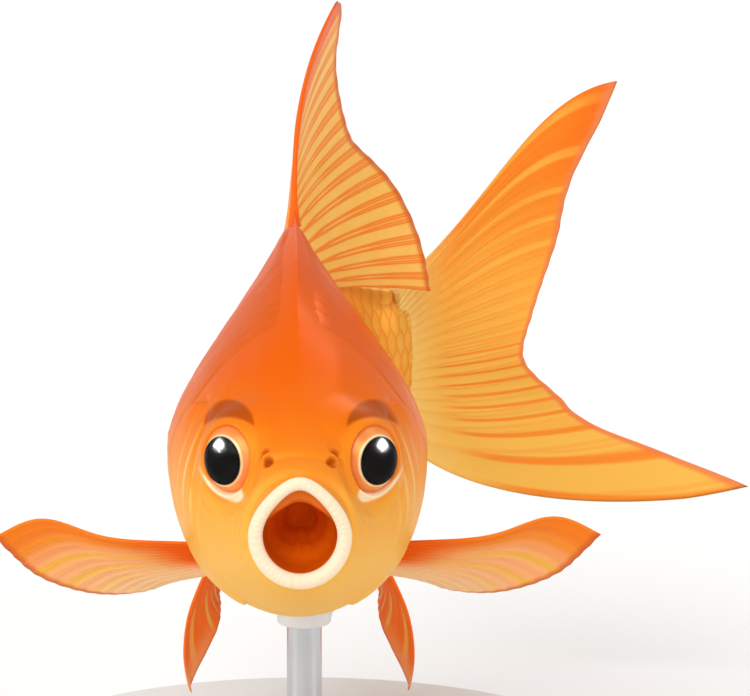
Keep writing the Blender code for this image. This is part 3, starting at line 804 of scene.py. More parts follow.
# %% The skin's unwrap
gone = np.concatenate(([0], np.linalg.norm(np.diff(skin_rings, axis=0), axis=-1).mean(axis=1).cumsum()))
gone = gone / gone[-1]
ring, column = (grid.ravel() for grid in np.meshgrid(range(len(gone) - 1), range(AROUND), indexing="ij"))
around_u = np.concatenate((np.arange(AROUND), [AROUND])) / AROUND
corners = ((ring, column), (ring, column + 1), (ring + 1, column + 1), (ring + 1, column))
unwrap = np.stack([np.stack((around_u[c], gone[r]), -1) for r, c in corners], 1).reshape(-1, 2)
cap = np.stack((around_u[:-1], np.zeros(AROUND)), -1)
add_map(skin, np.concatenate((unwrap, cap[::-1] * (1, 0), cap + (0, 1))) * 0.99 + 0.005)
print("its rings go", len(gone), "steps from throat to tail")

# %% [markdown]
# ## The finish of the skin
#
# Painted resin looks like plaster until its finish has the softness of flesh. A little light is let under the
# surface, a thin wet coat lies over it, and a fine grain of pores breaks the shine. The lips are cream.
# Behind them a bright orange membrane hangs from the roof of the mouth, and the throat is rust. Low in the
# front of the throat the rust is darker: painted shade on the mouth's floor, where the light from above
# falls, which turns to the membrane's orange towards the roof. Deeper in, the rust is lighter. The nostrils'
# openings are darkened brown, as painted shade. The shine of the fish is warm, because it comes from plates
# of pigment under a clear skin and not from the skin alone.

# %% Finish the skin
RUST_WITH_PAINTED_SHADE, DEEP_RUST, VALVE_ORANGE = (0.55, 0.080, 0.001, 1), (0.80, 0.14, 0.002, 1), (0.80, 0.17, 0.018, 1)
# in the mesh's number for the mouth, and, in mm over the snout, where the painted shade low in the throat
# gives way to the membrane
LIP_STARTS, LIP_ENDS, THROAT_DEEPENS, THROAT_SHADE_TO_VALVE = (0.02, 0.35), (0.988, 1.0), (1.20, 1.45), (2.4, 4.4)
material, shader, start = start_finish(
    "flesh",
    Coat_Weight=0.03,
    Coat_Roughness=0.15,
    IOR=1.22,
    Specular_IOR_Level=0.35,
    Specular_Tint=WARM_SHINE,
    Subsurface_Weight=0.15,
    Subsurface_Scale=0.001,
)
shader.inputs["Subsurface Radius"].default_value = (1.0, 0.35, 0.12)
mouth = attribute(start, "mouth")
across, back, up = position(start)
lip_cream = grain(start, 250.0).tint((0.87, 0.67, 0.44, 1), (0.90, 0.74, 0.55, 1))
colour = mouth.rise(*LIP_STARTS).tint(flesh_colour(start), lip_cream)
# painted shade: the throat is a darker rust low down, where light from above falls on the mouth's floor, and
# turns to the membrane's orange towards the roof
throat = (up + back * 0.5).rise(*THROAT_SHADE_TO_VALVE).tint(RUST_WITH_PAINTED_SHADE, VALVE_ORANGE)
throat = mouth.rise(*THROAT_DEEPENS).tint(throat, DEEP_RUST)
colour = mouth.rise(*LIP_ENDS).tint(colour, throat)
# painted shade: the nostrils' openings are darkened with the brown of the arc over the eye
for middle in (press_sockets(NOSTRILS) - SNOUT) / MM:
    away = ((across - middle[0]) ** 2 + (back - middle[1]) ** 2 + (up - middle[2]) ** 2) ** 0.5
    colour = (away.rise(1.0, 0.45) * 0.75).tint(colour, BROW_ARC_AND_NOSTRIL_SHADE)
connect(shader, "Base Color", colour)
connect(shader, "Metallic", mouth.rise(0.3, 0.0) * 0.15)
connect(shader, "Roughness", grain(start, 300.0) * 0.16 + 0.36)
connect(shader, "Normal", relief(start, grain(start, 1400.0, 3.0), 0.00004, 0.4))
skin.data.materials.append(material)
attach(skin, "root")
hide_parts("head", "trunk", "tail_stalk", "upper_lip", "lower_lip")
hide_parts("gill_cover_left", "gill_cover_right")
print("the finish of the skin has", len(material.node_tree.nodes), "nodes")

# %% [markdown]
# ## Turned pieces
#
# Eyes, rod, collar and base are all turned, like bowls on a lathe. Blender's Screw modifier could turn
# them, but here a profile of (distance from the axis, height along it) is carried round any axis, because
# the same points then also carry numbers for the finish and an unwrap. Both ends of the profile lie on
# the axis, so every piece is closed.

# %% Turn a profile


def turned_grid(profile, centre, axis, around):
    """Rings of points about an axis, from a profile of (distance from the axis, height along it)."""
    side = unit(np.cross(np.array((0.2, 0.9, 0.1)), axis))
    over = np.cross(side, axis)
    angles = np.linspace(0, 2 * np.pi, around, endpoint=False)
    spokes = np.cos(angles)[:, None] * side + np.sin(angles)[:, None] * over
    radii, heights = np.asarray(profile, float).T
    return centre + radii[:, None, None] * spokes + heights[:, None, None] * axis


def closed_turned(name, profile, centre, axis, around, numbers=None):
    """A turned mesh whose profile starts and ends on the axis. Its unwrap is (turn, way along profile)."""
    rings = turned_grid(profile, centre, axis, around)
    rows = len(rings)
    points = np.vstack((rings[1:-1].reshape(-1, 3), rings[0][:1], rings[-1][:1]))
    faces = grid_faces(rows - 2, around, True).tolist()
    ways = np.linspace(0, 1, rows)
    column = np.arange(around)
    u0, u1 = column / around, (column + 1) / around
    quads = [
        np.stack(np.broadcast_arrays(u0, a, u1, a, u1, b, u0, b), -1)
        for a, b in zip(ways[1:-2], ways[2:-1])
    ]
    corners = [np.concatenate(quads).reshape(-1, 2)]
    first, last = (rows - 2) * around, (rows - 2) * around + 1
    for tip, row, way, near in ((first, 0, ways[0], ways[1]), (last, rows - 3, ways[-1], ways[-2])):
        for k in range(around):
            here, beside = row * around + k, row * around + (k + 1) % around
            faces.append([tip, beside, here] if tip == first else [tip, here, beside])
            edge = (u0[k], near), (u1[k], near)
            middle = ((u0[k] + u1[k]) / 2, way)
            corners.append(np.array((middle, edge[1], edge[0]) if tip == first else (middle, *edge)))
    spread = {
        key: np.concatenate((np.repeat(values[1:-1], around), values[:1], values[-1:]))
        for key, values in (numbers or {}).items()
    }
    made = mesh_object(name, points, faces, spread)
    add_map(made, np.concatenate(corners))
    return made


bowl = turned_grid(((0, 0), (2, 0), (2, 1), (0, 1)), np.zeros(3), EYE_LOOKS, 12)
print("4 points turned in 12 steps are a grid of", bowl.shape)

# %% [markdown]
# ## Eyes
#
# A model maker buys glass eyes: a black pupil and a painted iris behind a clear dome. A goldfish's pupil
# is large and round, with a narrow ring of pale gold round it and a copper iris outside that. The pupil
# stands up like a lens, the gold ring like a rim, and the iris lies a little deeper. The dome is a
# second, clear piece a quarter of a millimetre further out.

# %% Profiles of the eyeball and its dome
PUPIL, RING_OUTER, IRIS_OUTER = 2.95, 3.14, 4.45
LENS_HEIGHT, GOLD_RING_HEIGHT, IRIS_DEPTH = 0.16, 0.10, 0.22
FRONT_ENDS, DOME_ENDS = 1.5, 1.25
DOME_GAP, DOME_THICK, DOME_STEPS = 0.22, 0.12, 40


def eye_profile():
    """The ball's outline from the middle of the pupil, over the gold ring and the iris, and round behind."""
    angles = np.concatenate((np.linspace(0, FRONT_ENDS - 0.05, 90), np.linspace(FRONT_ENDS, math.pi, 24)))
    radius = EYE_RADIUS * np.sin(angles)
    front = angles < FRONT_ENDS
    lens = LENS_HEIGHT * np.clip(1 - (radius / PUPIL) ** 2, 0, 1)
    rim = GOLD_RING_HEIGHT * bump(radius, (PUPIL + RING_OUTER) / 2, 0.22)
    iris = ease(radius, PUPIL - 0.12, PUPIL + 0.05) * ease(radius, IRIS_OUTER + 0.1, IRIS_OUTER - 0.5)
    height = EYE_RADIUS * EYE_FLATNESS * np.cos(angles) + (lens + rim - IRIS_DEPTH * iris) * front
    return np.stack((radius, height), -1), np.where(front, radius, EYE_RADIUS)


def dome_profile():
    """A thin clear bowl over the front of the eye: its outside from middle to rim, then its inside."""
    outside = np.linspace(0, DOME_ENDS, DOME_STEPS)
    angles = np.concatenate((outside, outside[-2::-1]))
    gap = DOME_GAP - DOME_THICK * (np.arange(len(angles)) >= DOME_STEPS)
    gap[DOME_STEPS - 1 : DOME_STEPS + 1] = DOME_GAP - DOME_THICK / 2
    radius, height = EYE_RADIUS + gap, EYE_RADIUS * EYE_FLATNESS + gap
    return np.stack((radius * np.sin(angles), height * np.cos(angles)), -1)


print("pupils", round(2 * PUPIL, 1), "mm across in irises of", round(2 * IRIS_OUTER, 1))

# %% [markdown]
# ## The finish of the eyes
#
# The ball carries one number, its distance from the axis, and the colours are rings of it: black pupil,
# pale gold ring, copper iris with darker mottling and a dark outer rim. The dome is nearly nothing at
# all. It lets the eye through and keeps only a mirror's share of the light, for the glints.

# %% Finish the eyes
COPPER, DARK_COPPER, COPPER_RIM = (0.95, 0.38, 0.11, 1), (0.80, 0.20, 0.035, 1), (0.50, 0.10, 0.016, 1)
RING_GOLD, RING_PALE, PUPIL_BLACK = (0.80, 0.52, 0.20, 1), (0.98, 0.82, 0.52, 1), (0.004, 0.003, 0.003, 1)
material, shader, start = start_finish("glass_eye", IOR=1.05)
ring = attribute(start, "ring")
fibres = grain(start, 900.0, 4.0)
mottle = grain(start, 350.0, 2.0)
iris = (mottle * 1.3 + (ring - RING_OUTER) * 0.3 - 0.35).rise(0.0, 1.0)
iris = iris.tint(COPPER, DARK_COPPER)
iris = ring.rise(IRIS_OUTER - 0.55, IRIS_OUTER).tint(iris, COPPER_RIM)
gold = fibres.tint(RING_GOLD, RING_PALE)
colour = ring.rise(RING_OUTER - 0.06, RING_OUTER + 0.10).tint(gold, iris)
colour = ring.rise(PUPIL - 0.04, PUPIL + 0.04).tint(PUPIL_BLACK, colour)
connect(shader, "Base Color", colour)
past_pupil = ring.rise(PUPIL, PUPIL + 0.1)
connect(shader, "Roughness", past_pupil * 0.28 + 0.05)
connect(shader, "Metallic", past_pupil * 0.25)
connect(shader, "Normal", relief(start, fibres, 0.00006, 0.5))
eye_finish = material
dome_finish, shader, start = start_finish(
    "clear_dome", Base_Color=(1, 1, 1, 1), Metallic=1.0, Roughness=0.16, Alpha=0.004
)
print("the eyes' finishes are", eye_finish.name, "and", dome_finish.name)

# %% [markdown]
# ## Two eyes
#
# Both eyes are turned from the same two profiles. The right one could be a mirrored copy, but a mirror
# turns a mesh inside out, so each is turned about its own axis. The ball stands for the packed eye. The
# dome stands for nothing: it is only glass over the ball.

# %% Set the eyes in
EYE_AROUND = 96
for hand, side in (("left", 1), ("right", -1)):
    axis, centre = EYE_LOOKS * (side, 1, 1), SNOUT + EYE_CENTRE * (side, 1, 1) * MM
    profile, rings = eye_profile()
    eye = closed_turned("eye_" + hand + "_glass", profile * MM, centre, axis, EYE_AROUND, {"ring": rings})
    dome = closed_turned("eye_" + hand + "_dome", dome_profile() * MM, centre, axis, EYE_AROUND)
    for piece, finish in ((eye, eye_finish), (dome, dome_finish)):
        piece.data.materials.append(finish)
        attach(piece, "root")
    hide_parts("eye_" + hand)
print("each eye has", len(eye.data.polygons), "faces and its dome", len(dome.data.polygons))

# %% [markdown]
# ## Where the scales lie
#
# Scales stand in rows that run parallel to the lateral line, each overlapping the next like tiles, with
# neighbouring rows half a tile apart. They could be drawn with a bump, but the drawn edge of a scale
# never casts a shadow. So each is a thin plate of its own. The layout needs one measurement that the
# table of sections does not have: how far round the skin it is from the lateral line. That is added up
# once for many places.

# %% Measure round the skin from the lateral line
# (place, height) in mm
LATERAL_LINE = ((22.0, 6.5), (30.0, 4.4), (50.0, 1.6), (75.0, -1.2), (112.0, -2.6))
ARC_PLACES = np.arange(16, 116.5, 0.5) * MM
ARC_STEP = 0.25 * MM
ARCS = np.arange(-180, 181) * ARC_STEP
PAST_MIDLINE = 0.7


def arc_rows():
    """For each place: the turn at each distance down from the lateral line, and how far the midlines are."""
    turns = np.linspace(-PAST_MIDLINE, math.pi + PAST_MIDLINE, 1600)
    looked_up, to_back, to_belly = [], [], []
    for place in ARC_PLACES:
        sideways, height = skin_offset(place, turns)
        walked = np.concatenate(([0], np.cumsum(np.hypot(np.diff(sideways), np.diff(height)))))
        on_side = (turns > 0.02) & (turns < math.pi - 0.02)
        line = float(smooth_through(LATERAL_LINE, place / MM)) * MM
        at_line = np.interp(-line, -height[on_side], walked[on_side])
        looked_up.append(np.interp(ARCS, walked - at_line, turns))
        to_back.append(np.interp(0, turns, walked) - at_line)
        to_belly.append(np.interp(math.pi, turns, walked) - at_line)
    return np.array(looked_up), np.array(to_back), np.array(to_belly)


TURN_TABLE, TO_BACK, TO_BELLY = arc_rows()


def turn_at(place, down):
    """The turn at a distance down the skin from the lateral line, read between the table's entries."""
    row = np.clip((place - ARC_PLACES[0]) / (ARC_PLACES[1] - ARC_PLACES[0]), 0, len(ARC_PLACES) - 1.001)
    column = np.clip((down - ARCS[0]) / ARC_STEP, 0, len(ARCS) - 1.001)
    i, j = row.astype(int), column.astype(int)
    a, b = row - i, column - j
    near = TURN_TABLE[i, j] * (1 - b) + TURN_TABLE[i, j + 1] * b
    far = TURN_TABLE[i + 1, j] * (1 - b) + TURN_TABLE[i + 1, j + 1] * b
    return near * (1 - a) + far * a


print("mm from the lateral line up to the back:", round(-TO_BACK[80] / MM, 1))

# %% [markdown]
# ## A seat for each scale
#
# A seat is the middle of a scale's rear edge, as a place behind the snout and a distance down from the
# lateral line. Seats stand in rings round the body, and every second ring is shifted by half a row. Their
# spacing follows the size of the scales, which are largest over the middle of the body. The head, the
# gill cover and the ridge of the back stay bare.

# %% Seats
ROW, COLUMN = 4.5 * MM, 2.95 * MM
MOST_ROWS, SEAT_CLEARS = 12, 0.3
SCALE_FROM, SCALE_TO = 25 * MM, 114.5 * MM
# (place, share of the full size), then (place, width of bare ridge) and (height, place of bare edge), in mm
SCALE_SIZES = ((24.0, 0.84), (36.0, 1.0), (50.0, 1.06), (75.0, 0.95), (95.0, 0.74), (112.0, 0.58))
BARE_RIDGE = ((27.0, 1.0), (38.0, 1.2), (46.0, 2.0), (54.0, 2.4), (58.0, 1.0), (75.0, 0.7), (96.0, 0.2))
BARE_LINE = ((-22.0, 27.0), (-13.0, 25.0), (0.0, 24.0), (10.0, 29.0), (16.0, 27.5), (21.0, 25.5))


def scale_size(place):
    """The share of their full size that scales have at a place."""
    return smooth_through(SCALE_SIZES, place / MM)


def past_bare_head(place, height):
    """How far, in mm, a point of the skin is past the edge of the bare head and gill cover."""
    edge, _ = gill_outline(place / MM, height / MM)
    line = np.interp(height / MM, *np.array(BARE_LINE).T)
    return np.minimum(place / MM - line, (edge - 1.0) * 9.0)


def bare_ridge(place):
    """How far down from the back's ridge the scales begin. It is bare skin before and beside the back fin."""
    return smooth_through(BARE_RIDGE, place / MM) * MM


def ring_places():
    """Places of the rings of scales, half a scale apart."""
    found = [SCALE_FROM]
    while found[-1] < SCALE_TO:
        found.append(found[-1] + COLUMN / 2 * float(scale_size(found[-1])))
    return np.array(found)


def scale_seats(upper):
    """(place, distance down) of the rear middle of each scale on a side, above or below the lateral line."""
    seats = []
    for k, place in enumerate(ring_places()):
        spacing = ROW * float(scale_size(place))
        back = np.interp(place, ARC_PLACES, TO_BACK) + float(bare_ridge(place))
        belly = np.interp(place, ARC_PLACES, TO_BELLY)
        for row in range(-MOST_ROWS, 1) if upper else range(1, MOST_ROWS + 1):
            down = row * spacing
            clear = SEAT_CLEARS * spacing
            if row % 2 != k % 2 or not back + clear < down < belly - clear:
                continue
            _, height = skin_offset(place, turn_at(np.array(place), np.array(down)))
            if past_bare_head(place, height) > 0.2:
                seats.append((place, down))
    return np.array(seats)


def midline_seats(start, end):
    """Seats along the middle of the back or belly, between two places in mm."""
    return np.array([(place, 0.0) for place in ring_places()[::2] if start * MM <= place <= end * MM])


print("one side has", len(scale_seats(True)), "scales above and", len(scale_seats(False)), "below")

# %% [markdown]
# ## One scale, many times
#
# All plates are worked out together as arrays: which plate, how far along it (a, 0 to 1), how far across
# it (b, -1 to 1). Each leans by the same small angle, so that plates never cut through each other. They
# sink into the skin where the bare head begins, and near the ridge of the back they are squeezed rather
# than folded over it. They stand up less where the skin under them is less deep, so that no step shows
# there. Only on the tail's stalk do they stand up fully over the ridge.

# %% Lay the scales
SCALE_LENGTH, SCALE_HALF_WIDTH = 2.6, 1.05
SCALE_SAG, SCALE_ROOT_SAG = 2.55 * MM, 0.8 * MM
SCALE_LOW, SCALE_HIGH, SCALE_CROWN = -0.05 * MM, 0.42 * MM, 0.05 * MM
SCALE_THICK, SCALE_SINKS = 0.12 * MM, 0.35 * MM
UNEVEN_EDGE, UNEVEN_HEIGHT, PORE_TUBE = 0.05 * MM, 0.02 * MM, 0.10 * MM
FLATTEST, STALK_SCALES_STAND = 0.3, (80 * MM, 98 * MM)
SCALE_ALONG, SCALE_ACROSS, CLOSER_AT_SIDES = 14, 11, math.pi / 2 * 0.96


def squeeze(distance):
    """Keeps a distance above zero by bending it smoothly towards zero."""
    soft = 0.5 * MM
    return (distance + np.sqrt(distance * distance + soft * soft)) / 2


def lay_scales(name, seats, side, on_midline=None):
    """One mesh of plates with their rear middles at the seats. on_midline is the turn of a midline row."""
    count = len(seats)
    along = 1 - (1 - np.linspace(0, 1, SCALE_ALONG)) ** 1.5
    across = np.sin(np.linspace(-1, 1, SCALE_ACROSS) * CLOSER_AT_SIDES) / math.sin(CLOSER_AT_SIDES)
    seat, a, b = np.meshgrid(np.arange(count), along, across, indexing="ij")
    place, down = seats[seat, 0], seats[seat, 1]
    size = scale_size(seats[:, 0])[seat]
    dice = np.random.default_rng(11 + side * 3 + len(name)).uniform(-1, 1, (count, 4))
    length = SCALE_LENGTH * COLUMN * size
    rear = place - SCALE_SAG * size * (0.75 * b**2 + 0.25 * b**4)
    front = place - length + SCALE_ROOT_SAG * size * (1 - b**2)
    rear = rear + UNEVEN_EDGE * size * dice[seat, 0] * (1 - b**2)
    at = front + (rear - front) * a
    lean = (SCALE_HIGH - SCALE_LOW) * (at - (place - length)) / length
    half_width = SCALE_HALF_WIDTH * ROW * size * (1 - 0.12 * (1 - a) ** 2)
    sideways = half_width * b
    if on_midline is None:
        down = down + sideways
        back = np.interp(at, ARC_PLACES, TO_BACK) + bare_ridge(at)
        belly = np.interp(at, ARC_PLACES, TO_BELLY)
        down = back + squeeze(down - back)
        sinks = ease((down - back) / MM, 0.2, 2.5)
        down = belly - squeeze(belly - down)
        turn = side * turn_at(at, down)
    else:
        middle = np.interp(at, ARC_PLACES, TO_BACK if on_midline == 0 else TO_BELLY)
        outwards = np.abs(sideways) if on_midline == 0 else -np.abs(sideways)
        turn = turn_at(at, middle + outwards)
        turn = np.where(sideways < 0, -turn, turn)
        lean, sinks = lean + SCALE_CROWN, 1.0
    _, height = skin_offset(at, turn)
    shown = ease(past_bare_head(at, height), -0.6, 2.6) * ease(at / MM, 116.0, 113.0) * sinks
    crown = SCALE_CROWN * (1 - b**2) * size
    has_pore = (np.abs(seats[seat, 1]) < 0.01 * MM) & (on_midline is None)
    tube = PORE_TUBE * has_pore * bump(b, 0, 0.09) * ease(a, 0.55, 0.7) * ease(a, 0.97, 0.9)
    inset = flesh_inset(at, turn)
    room = FLATTEST + (1 - FLATTEST) * (inset - HEAD_INSET) / (COAT_DEPTH - HEAD_INSET)
    room = np.maximum(room, ease(at, *STALK_SCALES_STAND))
    rises = (lean + crown + tube + UNEVEN_HEIGHT * dice[seat, 1]) * shown * room
    lift = SCALE_LOW + rises - SCALE_SINKS * (1 - shown)
    base = skin_point(at, turn, -inset)
    normal = skin_normal(at, turn)
    top = base + normal * lift[..., None]
    rim = (a > 0.999) | (a < 0.001) | (np.abs(b) > 0.999)
    under = top - normal * np.where(rim, 0.0, SCALE_THICK)[..., None]
    tone = np.broadcast_to(dice[:, 2, None, None], a.shape)
    numbers = {"tone": tone, "along": a, "across": b, "place": at / MM}
    return plates_object(name, top, under, rim[0], seats, side < 0 or bool(on_midline), numbers)


print("a scale is a grid of", SCALE_ALONG, "by", SCALE_ACROSS, "points, twice")

# %% [markdown]
# ## Plates into meshes
#
# Each plate has an upper and a lower sheet, which share the points of its rim, so it is closed and solid.
# Several hundred of them make one piece. Every plate gets its own small patch of the unwrap, at a spot
# that follows from its seat, and its two sheets lie side by side there.

# %% Build the coat
PATCH = 0.003


def plates_object(name, top, under, rim, seats, flipped, numbers):
    """Joins each plate's upper and lower sheets, which share the points of its rim."""
    count, rows, columns = top.shape[:3]
    size = rows * columns
    inner = np.flatnonzero(~rim.ravel())
    under_number = np.arange(size)
    under_number[inner] = size + np.arange(len(inner))
    quads = grid_faces(rows, columns, False)
    flip = -1 if flipped else 1
    one = np.concatenate((quads[:, ::flip], under_number[quads][:, ::-flip]))
    corner = np.concatenate((quads[:, ::flip], quads[:, ::-flip]))
    per_plate = size + len(inner)
    faces = (one[None] + per_plate * np.arange(count)[:, None, None]).reshape(-1, 4)
    points = np.concatenate((top.reshape(count, size, 3), under.reshape(count, size, 3)[:, inner]), axis=1)
    flat = {key: values.reshape(count, size) for key, values in numbers.items()}
    spread = {key: np.concatenate((values, values[:, inner]), axis=1) for key, values in flat.items()}
    made = mesh_object(name, points.reshape(-1, 3), faces, spread)
    root_u = (seats[:, 0] - SCALE_FROM) / (SCALE_TO - SCALE_FROM) * 0.99
    root_v = (seats[:, 1] - ARCS[0]) / (ARCS[-1] - ARCS[0]) * 0.99
    half = np.concatenate((np.zeros(len(quads)), np.ones(len(quads))))[:, None]
    u = (flat["along"][0][corner] * 0.46 + 0.5 * half) * PATCH
    v = (flat["across"][0][corner] * 0.5 + 0.5) * PATCH
    coordinates = np.stack((root_u[:, None, None] + u, root_v[:, None, None] + v), -1)
    add_map(made, coordinates.reshape(-1, 2))
    return made


scale_pieces = []
for hand, side in (("left", 1), ("right", -1)):
    for half, upper in (("upper", True), ("lower", False)):
        scale_pieces.append(lay_scales("scales_" + hand + "_" + half, scale_seats(upper), side))
for name, turn, first, last in (
    ("scales_tail_top", 0, 99.0, 111.0),
    ("scales_breast", math.pi, 28.5, 82.0),
    ("scales_tail_under", math.pi, 97.0, 111.0),
):
    scale_pieces.append(lay_scales(name, midline_seats(first, last), 1, turn))
faces_each = 2 * (SCALE_ALONG - 1) * (SCALE_ACROSS - 1)
print("scales laid:", sum(len(piece.data.polygons) for piece in scale_pieces) // faces_each)

# %% [markdown]
# ## The finish of the scales
#
# A scale is clear horn over a layer of reflecting crystals, which is where a goldfish gets its lustre.
# So its finish is part metal, the more so towards the free edge, and its shine has the colour of the
# fish. Fine rings of growth run round each one, and no two have quite the same gloss.

# %% Finish the scales
material, shader, start = start_finish(
    "scale",
    Coat_Weight=0.03,
    Coat_Roughness=0.12,
    IOR=1.22,
    Specular_IOR_Level=0.35,
    Specular_Tint=WARM_SHINE,
)
along, across, tone = (attribute(start, name) for name in ("along", "across", "tone"))
colour = flesh_colour(start)
colour = (along.rise(0.80, 0.99) * 0.35).tint(colour, ORANGE)
connect(shader, "Base Color", colour)
connect(shader, "Metallic", along.rise(0.4, 0.9) * 0.14 + 0.12)
connect(shader, "Roughness", tone * 0.05 + 0.33)
growth = (along * 95.0 + across * across * 22.0).sine() * 0.5 + 0.5
connect(shader, "Normal", relief(start, growth, 0.00003, 0.25))
for piece in scale_pieces:
    piece.data.materials.append(material)
    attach(piece, "root")
print("the finish of the scales has", len(material.node_tree.nodes), "nodes")

# %% [markdown]
# ## Back fin and anal fin
#
# A fin is a thin skin stretched over rays that all start at its root. So each fin is one function: u
# says which ray, from the front or lower edge to the other, and v how far along it. They are the packed
# solids' own surfaces, so that a fin fits its solid, only read at far more points. The back fin's rays
# lean further back one after another, and their tips curl over to the fish's left. The anal fin stands
# under the tail's root, on the midline too.

# %% Fins on the midline
ROOT_DEPTH = 2.5 * MM
DORSAL_FROM, DORSAL_TO = 56 * MM, 96 * MM
DORSAL_PITCH, DORSAL_LAID_BACK, DORSAL_LAID_POWER = math.radians(68), math.radians(66), 0.95
DORSAL_DROOP = math.radians(8)
# (share of the way from the first ray to the last, mm)
DORSAL_LENGTHS = ((0.0, 26.7), (0.1, 26.2), (0.25, 21.5), (0.45, 17.9), (0.7, 19.9), (1.0, 9.3))
DORSAL_CURLS = ((0.0, 5.8), (0.1, 6.9), (0.25, 6.8), (0.45, 8.8), (0.7, 12.3), (1.0, 11.3))
DORSAL_CURL_LATE, DORSAL_CURL_SOONER = 3.0, 1.6
ANAL_FROM, ANAL_TO = 84 * MM, 94 * MM
ANAL_LENGTHS = ((0.0, 17.0), (0.2, 16.0), (0.6, 11.0), (1.0, 9.0))
ANAL_PITCH, ANAL_FANS, ANAL_LEAN = math.radians(-62), math.radians(38), math.radians(10)


def dorsal_point(u, v):
    """The back fin: u runs from the leading spine to the last ray."""
    place = DORSAL_FROM + (DORSAL_TO - DORSAL_FROM) * u
    yaw = yaw_at(place)
    pitch = DORSAL_PITCH - DORSAL_LAID_BACK * u**DORSAL_LAID_POWER - DORSAL_DROOP * v * u
    length = smooth_through(DORSAL_LENGTHS, u) * MM + ROOT_DEPTH
    curl = smooth_through(DORSAL_CURLS, u) * MM * v ** (DORSAL_CURL_LATE - DORSAL_CURL_SOONER * np.sqrt(u))
    root = skin_point(place, np.zeros_like(u)) - upwards(ROOT_DEPTH)
    return root + heading(yaw, pitch) * (length * v)[..., None] + leftwards(yaw) * curl[..., None]


def anal_point(u, v):
    """The anal fin: u runs from its front edge to its rear edge."""
    place = ANAL_FROM + (ANAL_TO - ANAL_FROM) * u
    root = skin_point(place, np.full_like(u, math.pi)) + upwards(ROOT_DEPTH)
    length = smooth_through(ANAL_LENGTHS, u) * MM + ROOT_DEPTH
    lean = yaw_at(place) + ANAL_LEAN * v
    return root + heading(lean, ANAL_PITCH + ANAL_FANS * u) * (length * v)[..., None]


print("the back fin's first ray is", DORSAL_LENGTHS[0][1], "mm long, and the anal fin's", ANAL_LENGTHS[0][1])

# %% [markdown]
# ## The tail fin
#
# The tail fin's rays spread from the end of the spine into two pointed lobes. It could be a flat fan
# that is bent afterwards, but it sweeps round with the tail, so its rays run along the bent midline from
# the start. The rays bow outwards, soon in the lower lobe and late in the upper one, and the whole fan
# twists a little, as it does in the middle of a stroke.

# %% The tail fin's surface
CAUDAL_ROOT_AT = STANDARD_LENGTH - 1 * MM
CAUDAL_HALF_ROOT = 8.3 * MM
CAUDAL_SPREAD, CAUDAL_PITCH = math.radians(24.2), math.radians(11.2)
# (ray, length in mm), where the ray is -1 at the lower edge and 1 at the upper one
CAUDAL_BELOW = ((-1.0, 50.0), (-0.85, 30.4), (-0.65, 24.0), (-0.35, 19.2))
CAUDAL_ABOVE = ((0.0, 21.4), (0.4, 26.8), (0.75, 32.1), (1.0, 43.5))
BULGE_BELOW, BULGE_ABOVE = 0.151, 0.078
BULGE_SOON_BELOW, BULGE_LATE_ABOVE = 0.69, 2.8
CAUDAL_TWIST, CAUDAL_TWIST_OVER = math.radians(12), 40 * MM
CAUDAL_RIPPLE, RIPPLE_ACROSS, RIPPLE_ALONG = 0.8 * MM, 5, 3


def caudal_bulge(u, v):
    """How far the rays bow outwards: soon after the root in the lower lobe, near the tip in the upper one."""
    power = BULGE_SOON_BELOW * (BULGE_LATE_ABOVE / BULGE_SOON_BELOW) ** u
    largest = (power / (power + 1)) ** power / (power + 1)
    return v**power * (1 - v) / largest * (BULGE_BELOW + (BULGE_ABOVE - BULGE_BELOW) * u)


def caudal_point(u, v):
    """The tail fin: u runs from the lower edge to the upper edge."""
    fan = 2 * u - 1
    length = smooth_through(CAUDAL_BELOW + CAUDAL_ABOVE, fan) * MM
    spread = CAUDAL_SPREAD * fan + CAUDAL_PITCH
    bulge = caudal_bulge(u, np.maximum(v, 0)) * fan
    height = fan * CAUDAL_HALF_ROOT + length * (v * np.sin(spread) + bulge * np.cos(spread))
    along = np.maximum(0.0, length * (v * np.cos(spread) - bulge * np.sin(spread)))
    root = midline(CAUDAL_ROOT_AT)[0]
    spot, yaw = midline(CAUDAL_ROOT_AT + along)
    twist = CAUDAL_TWIST * fan * share(along, 0, CAUDAL_TWIST_OVER)
    x, y = (spot - root)[..., 0], (spot - root)[..., 1]
    turned = (x * np.cos(twist) - y * np.sin(twist), x * np.sin(twist) + y * np.cos(twist), 0 * x)
    middle = (section(CAUDAL_ROOT_AT, BACK) + section(CAUDAL_ROOT_AT, BELLY)) / 2
    ripple = CAUDAL_RIPPLE * v * v * np.sin(RIPPLE_ACROSS * fan + RIPPLE_ALONG * v)
    return root + np.stack(turned, -1) + upwards(middle + height) + leftwards(yaw) * ripple[..., None]


TIPS = caudal_point(np.array((0.0, 1.0)), np.array((1.0, 1.0)))
print("the tail fin's lobes end at", TIPS.round(4).tolist())

# %% [markdown]
# ## The paired fins
#
# The side fins stand straight out, like a diver's arms, and the small belly fins hang down behind them.
# Both are fans between two roots and two directions, so both come from one function and a table each. A
# ray would be straight without the last four rows of its table: bow bends the whole fin, sag its middle,
# hump lifts the leading edge near its tip, and drift leans both fins of a pair to one side.

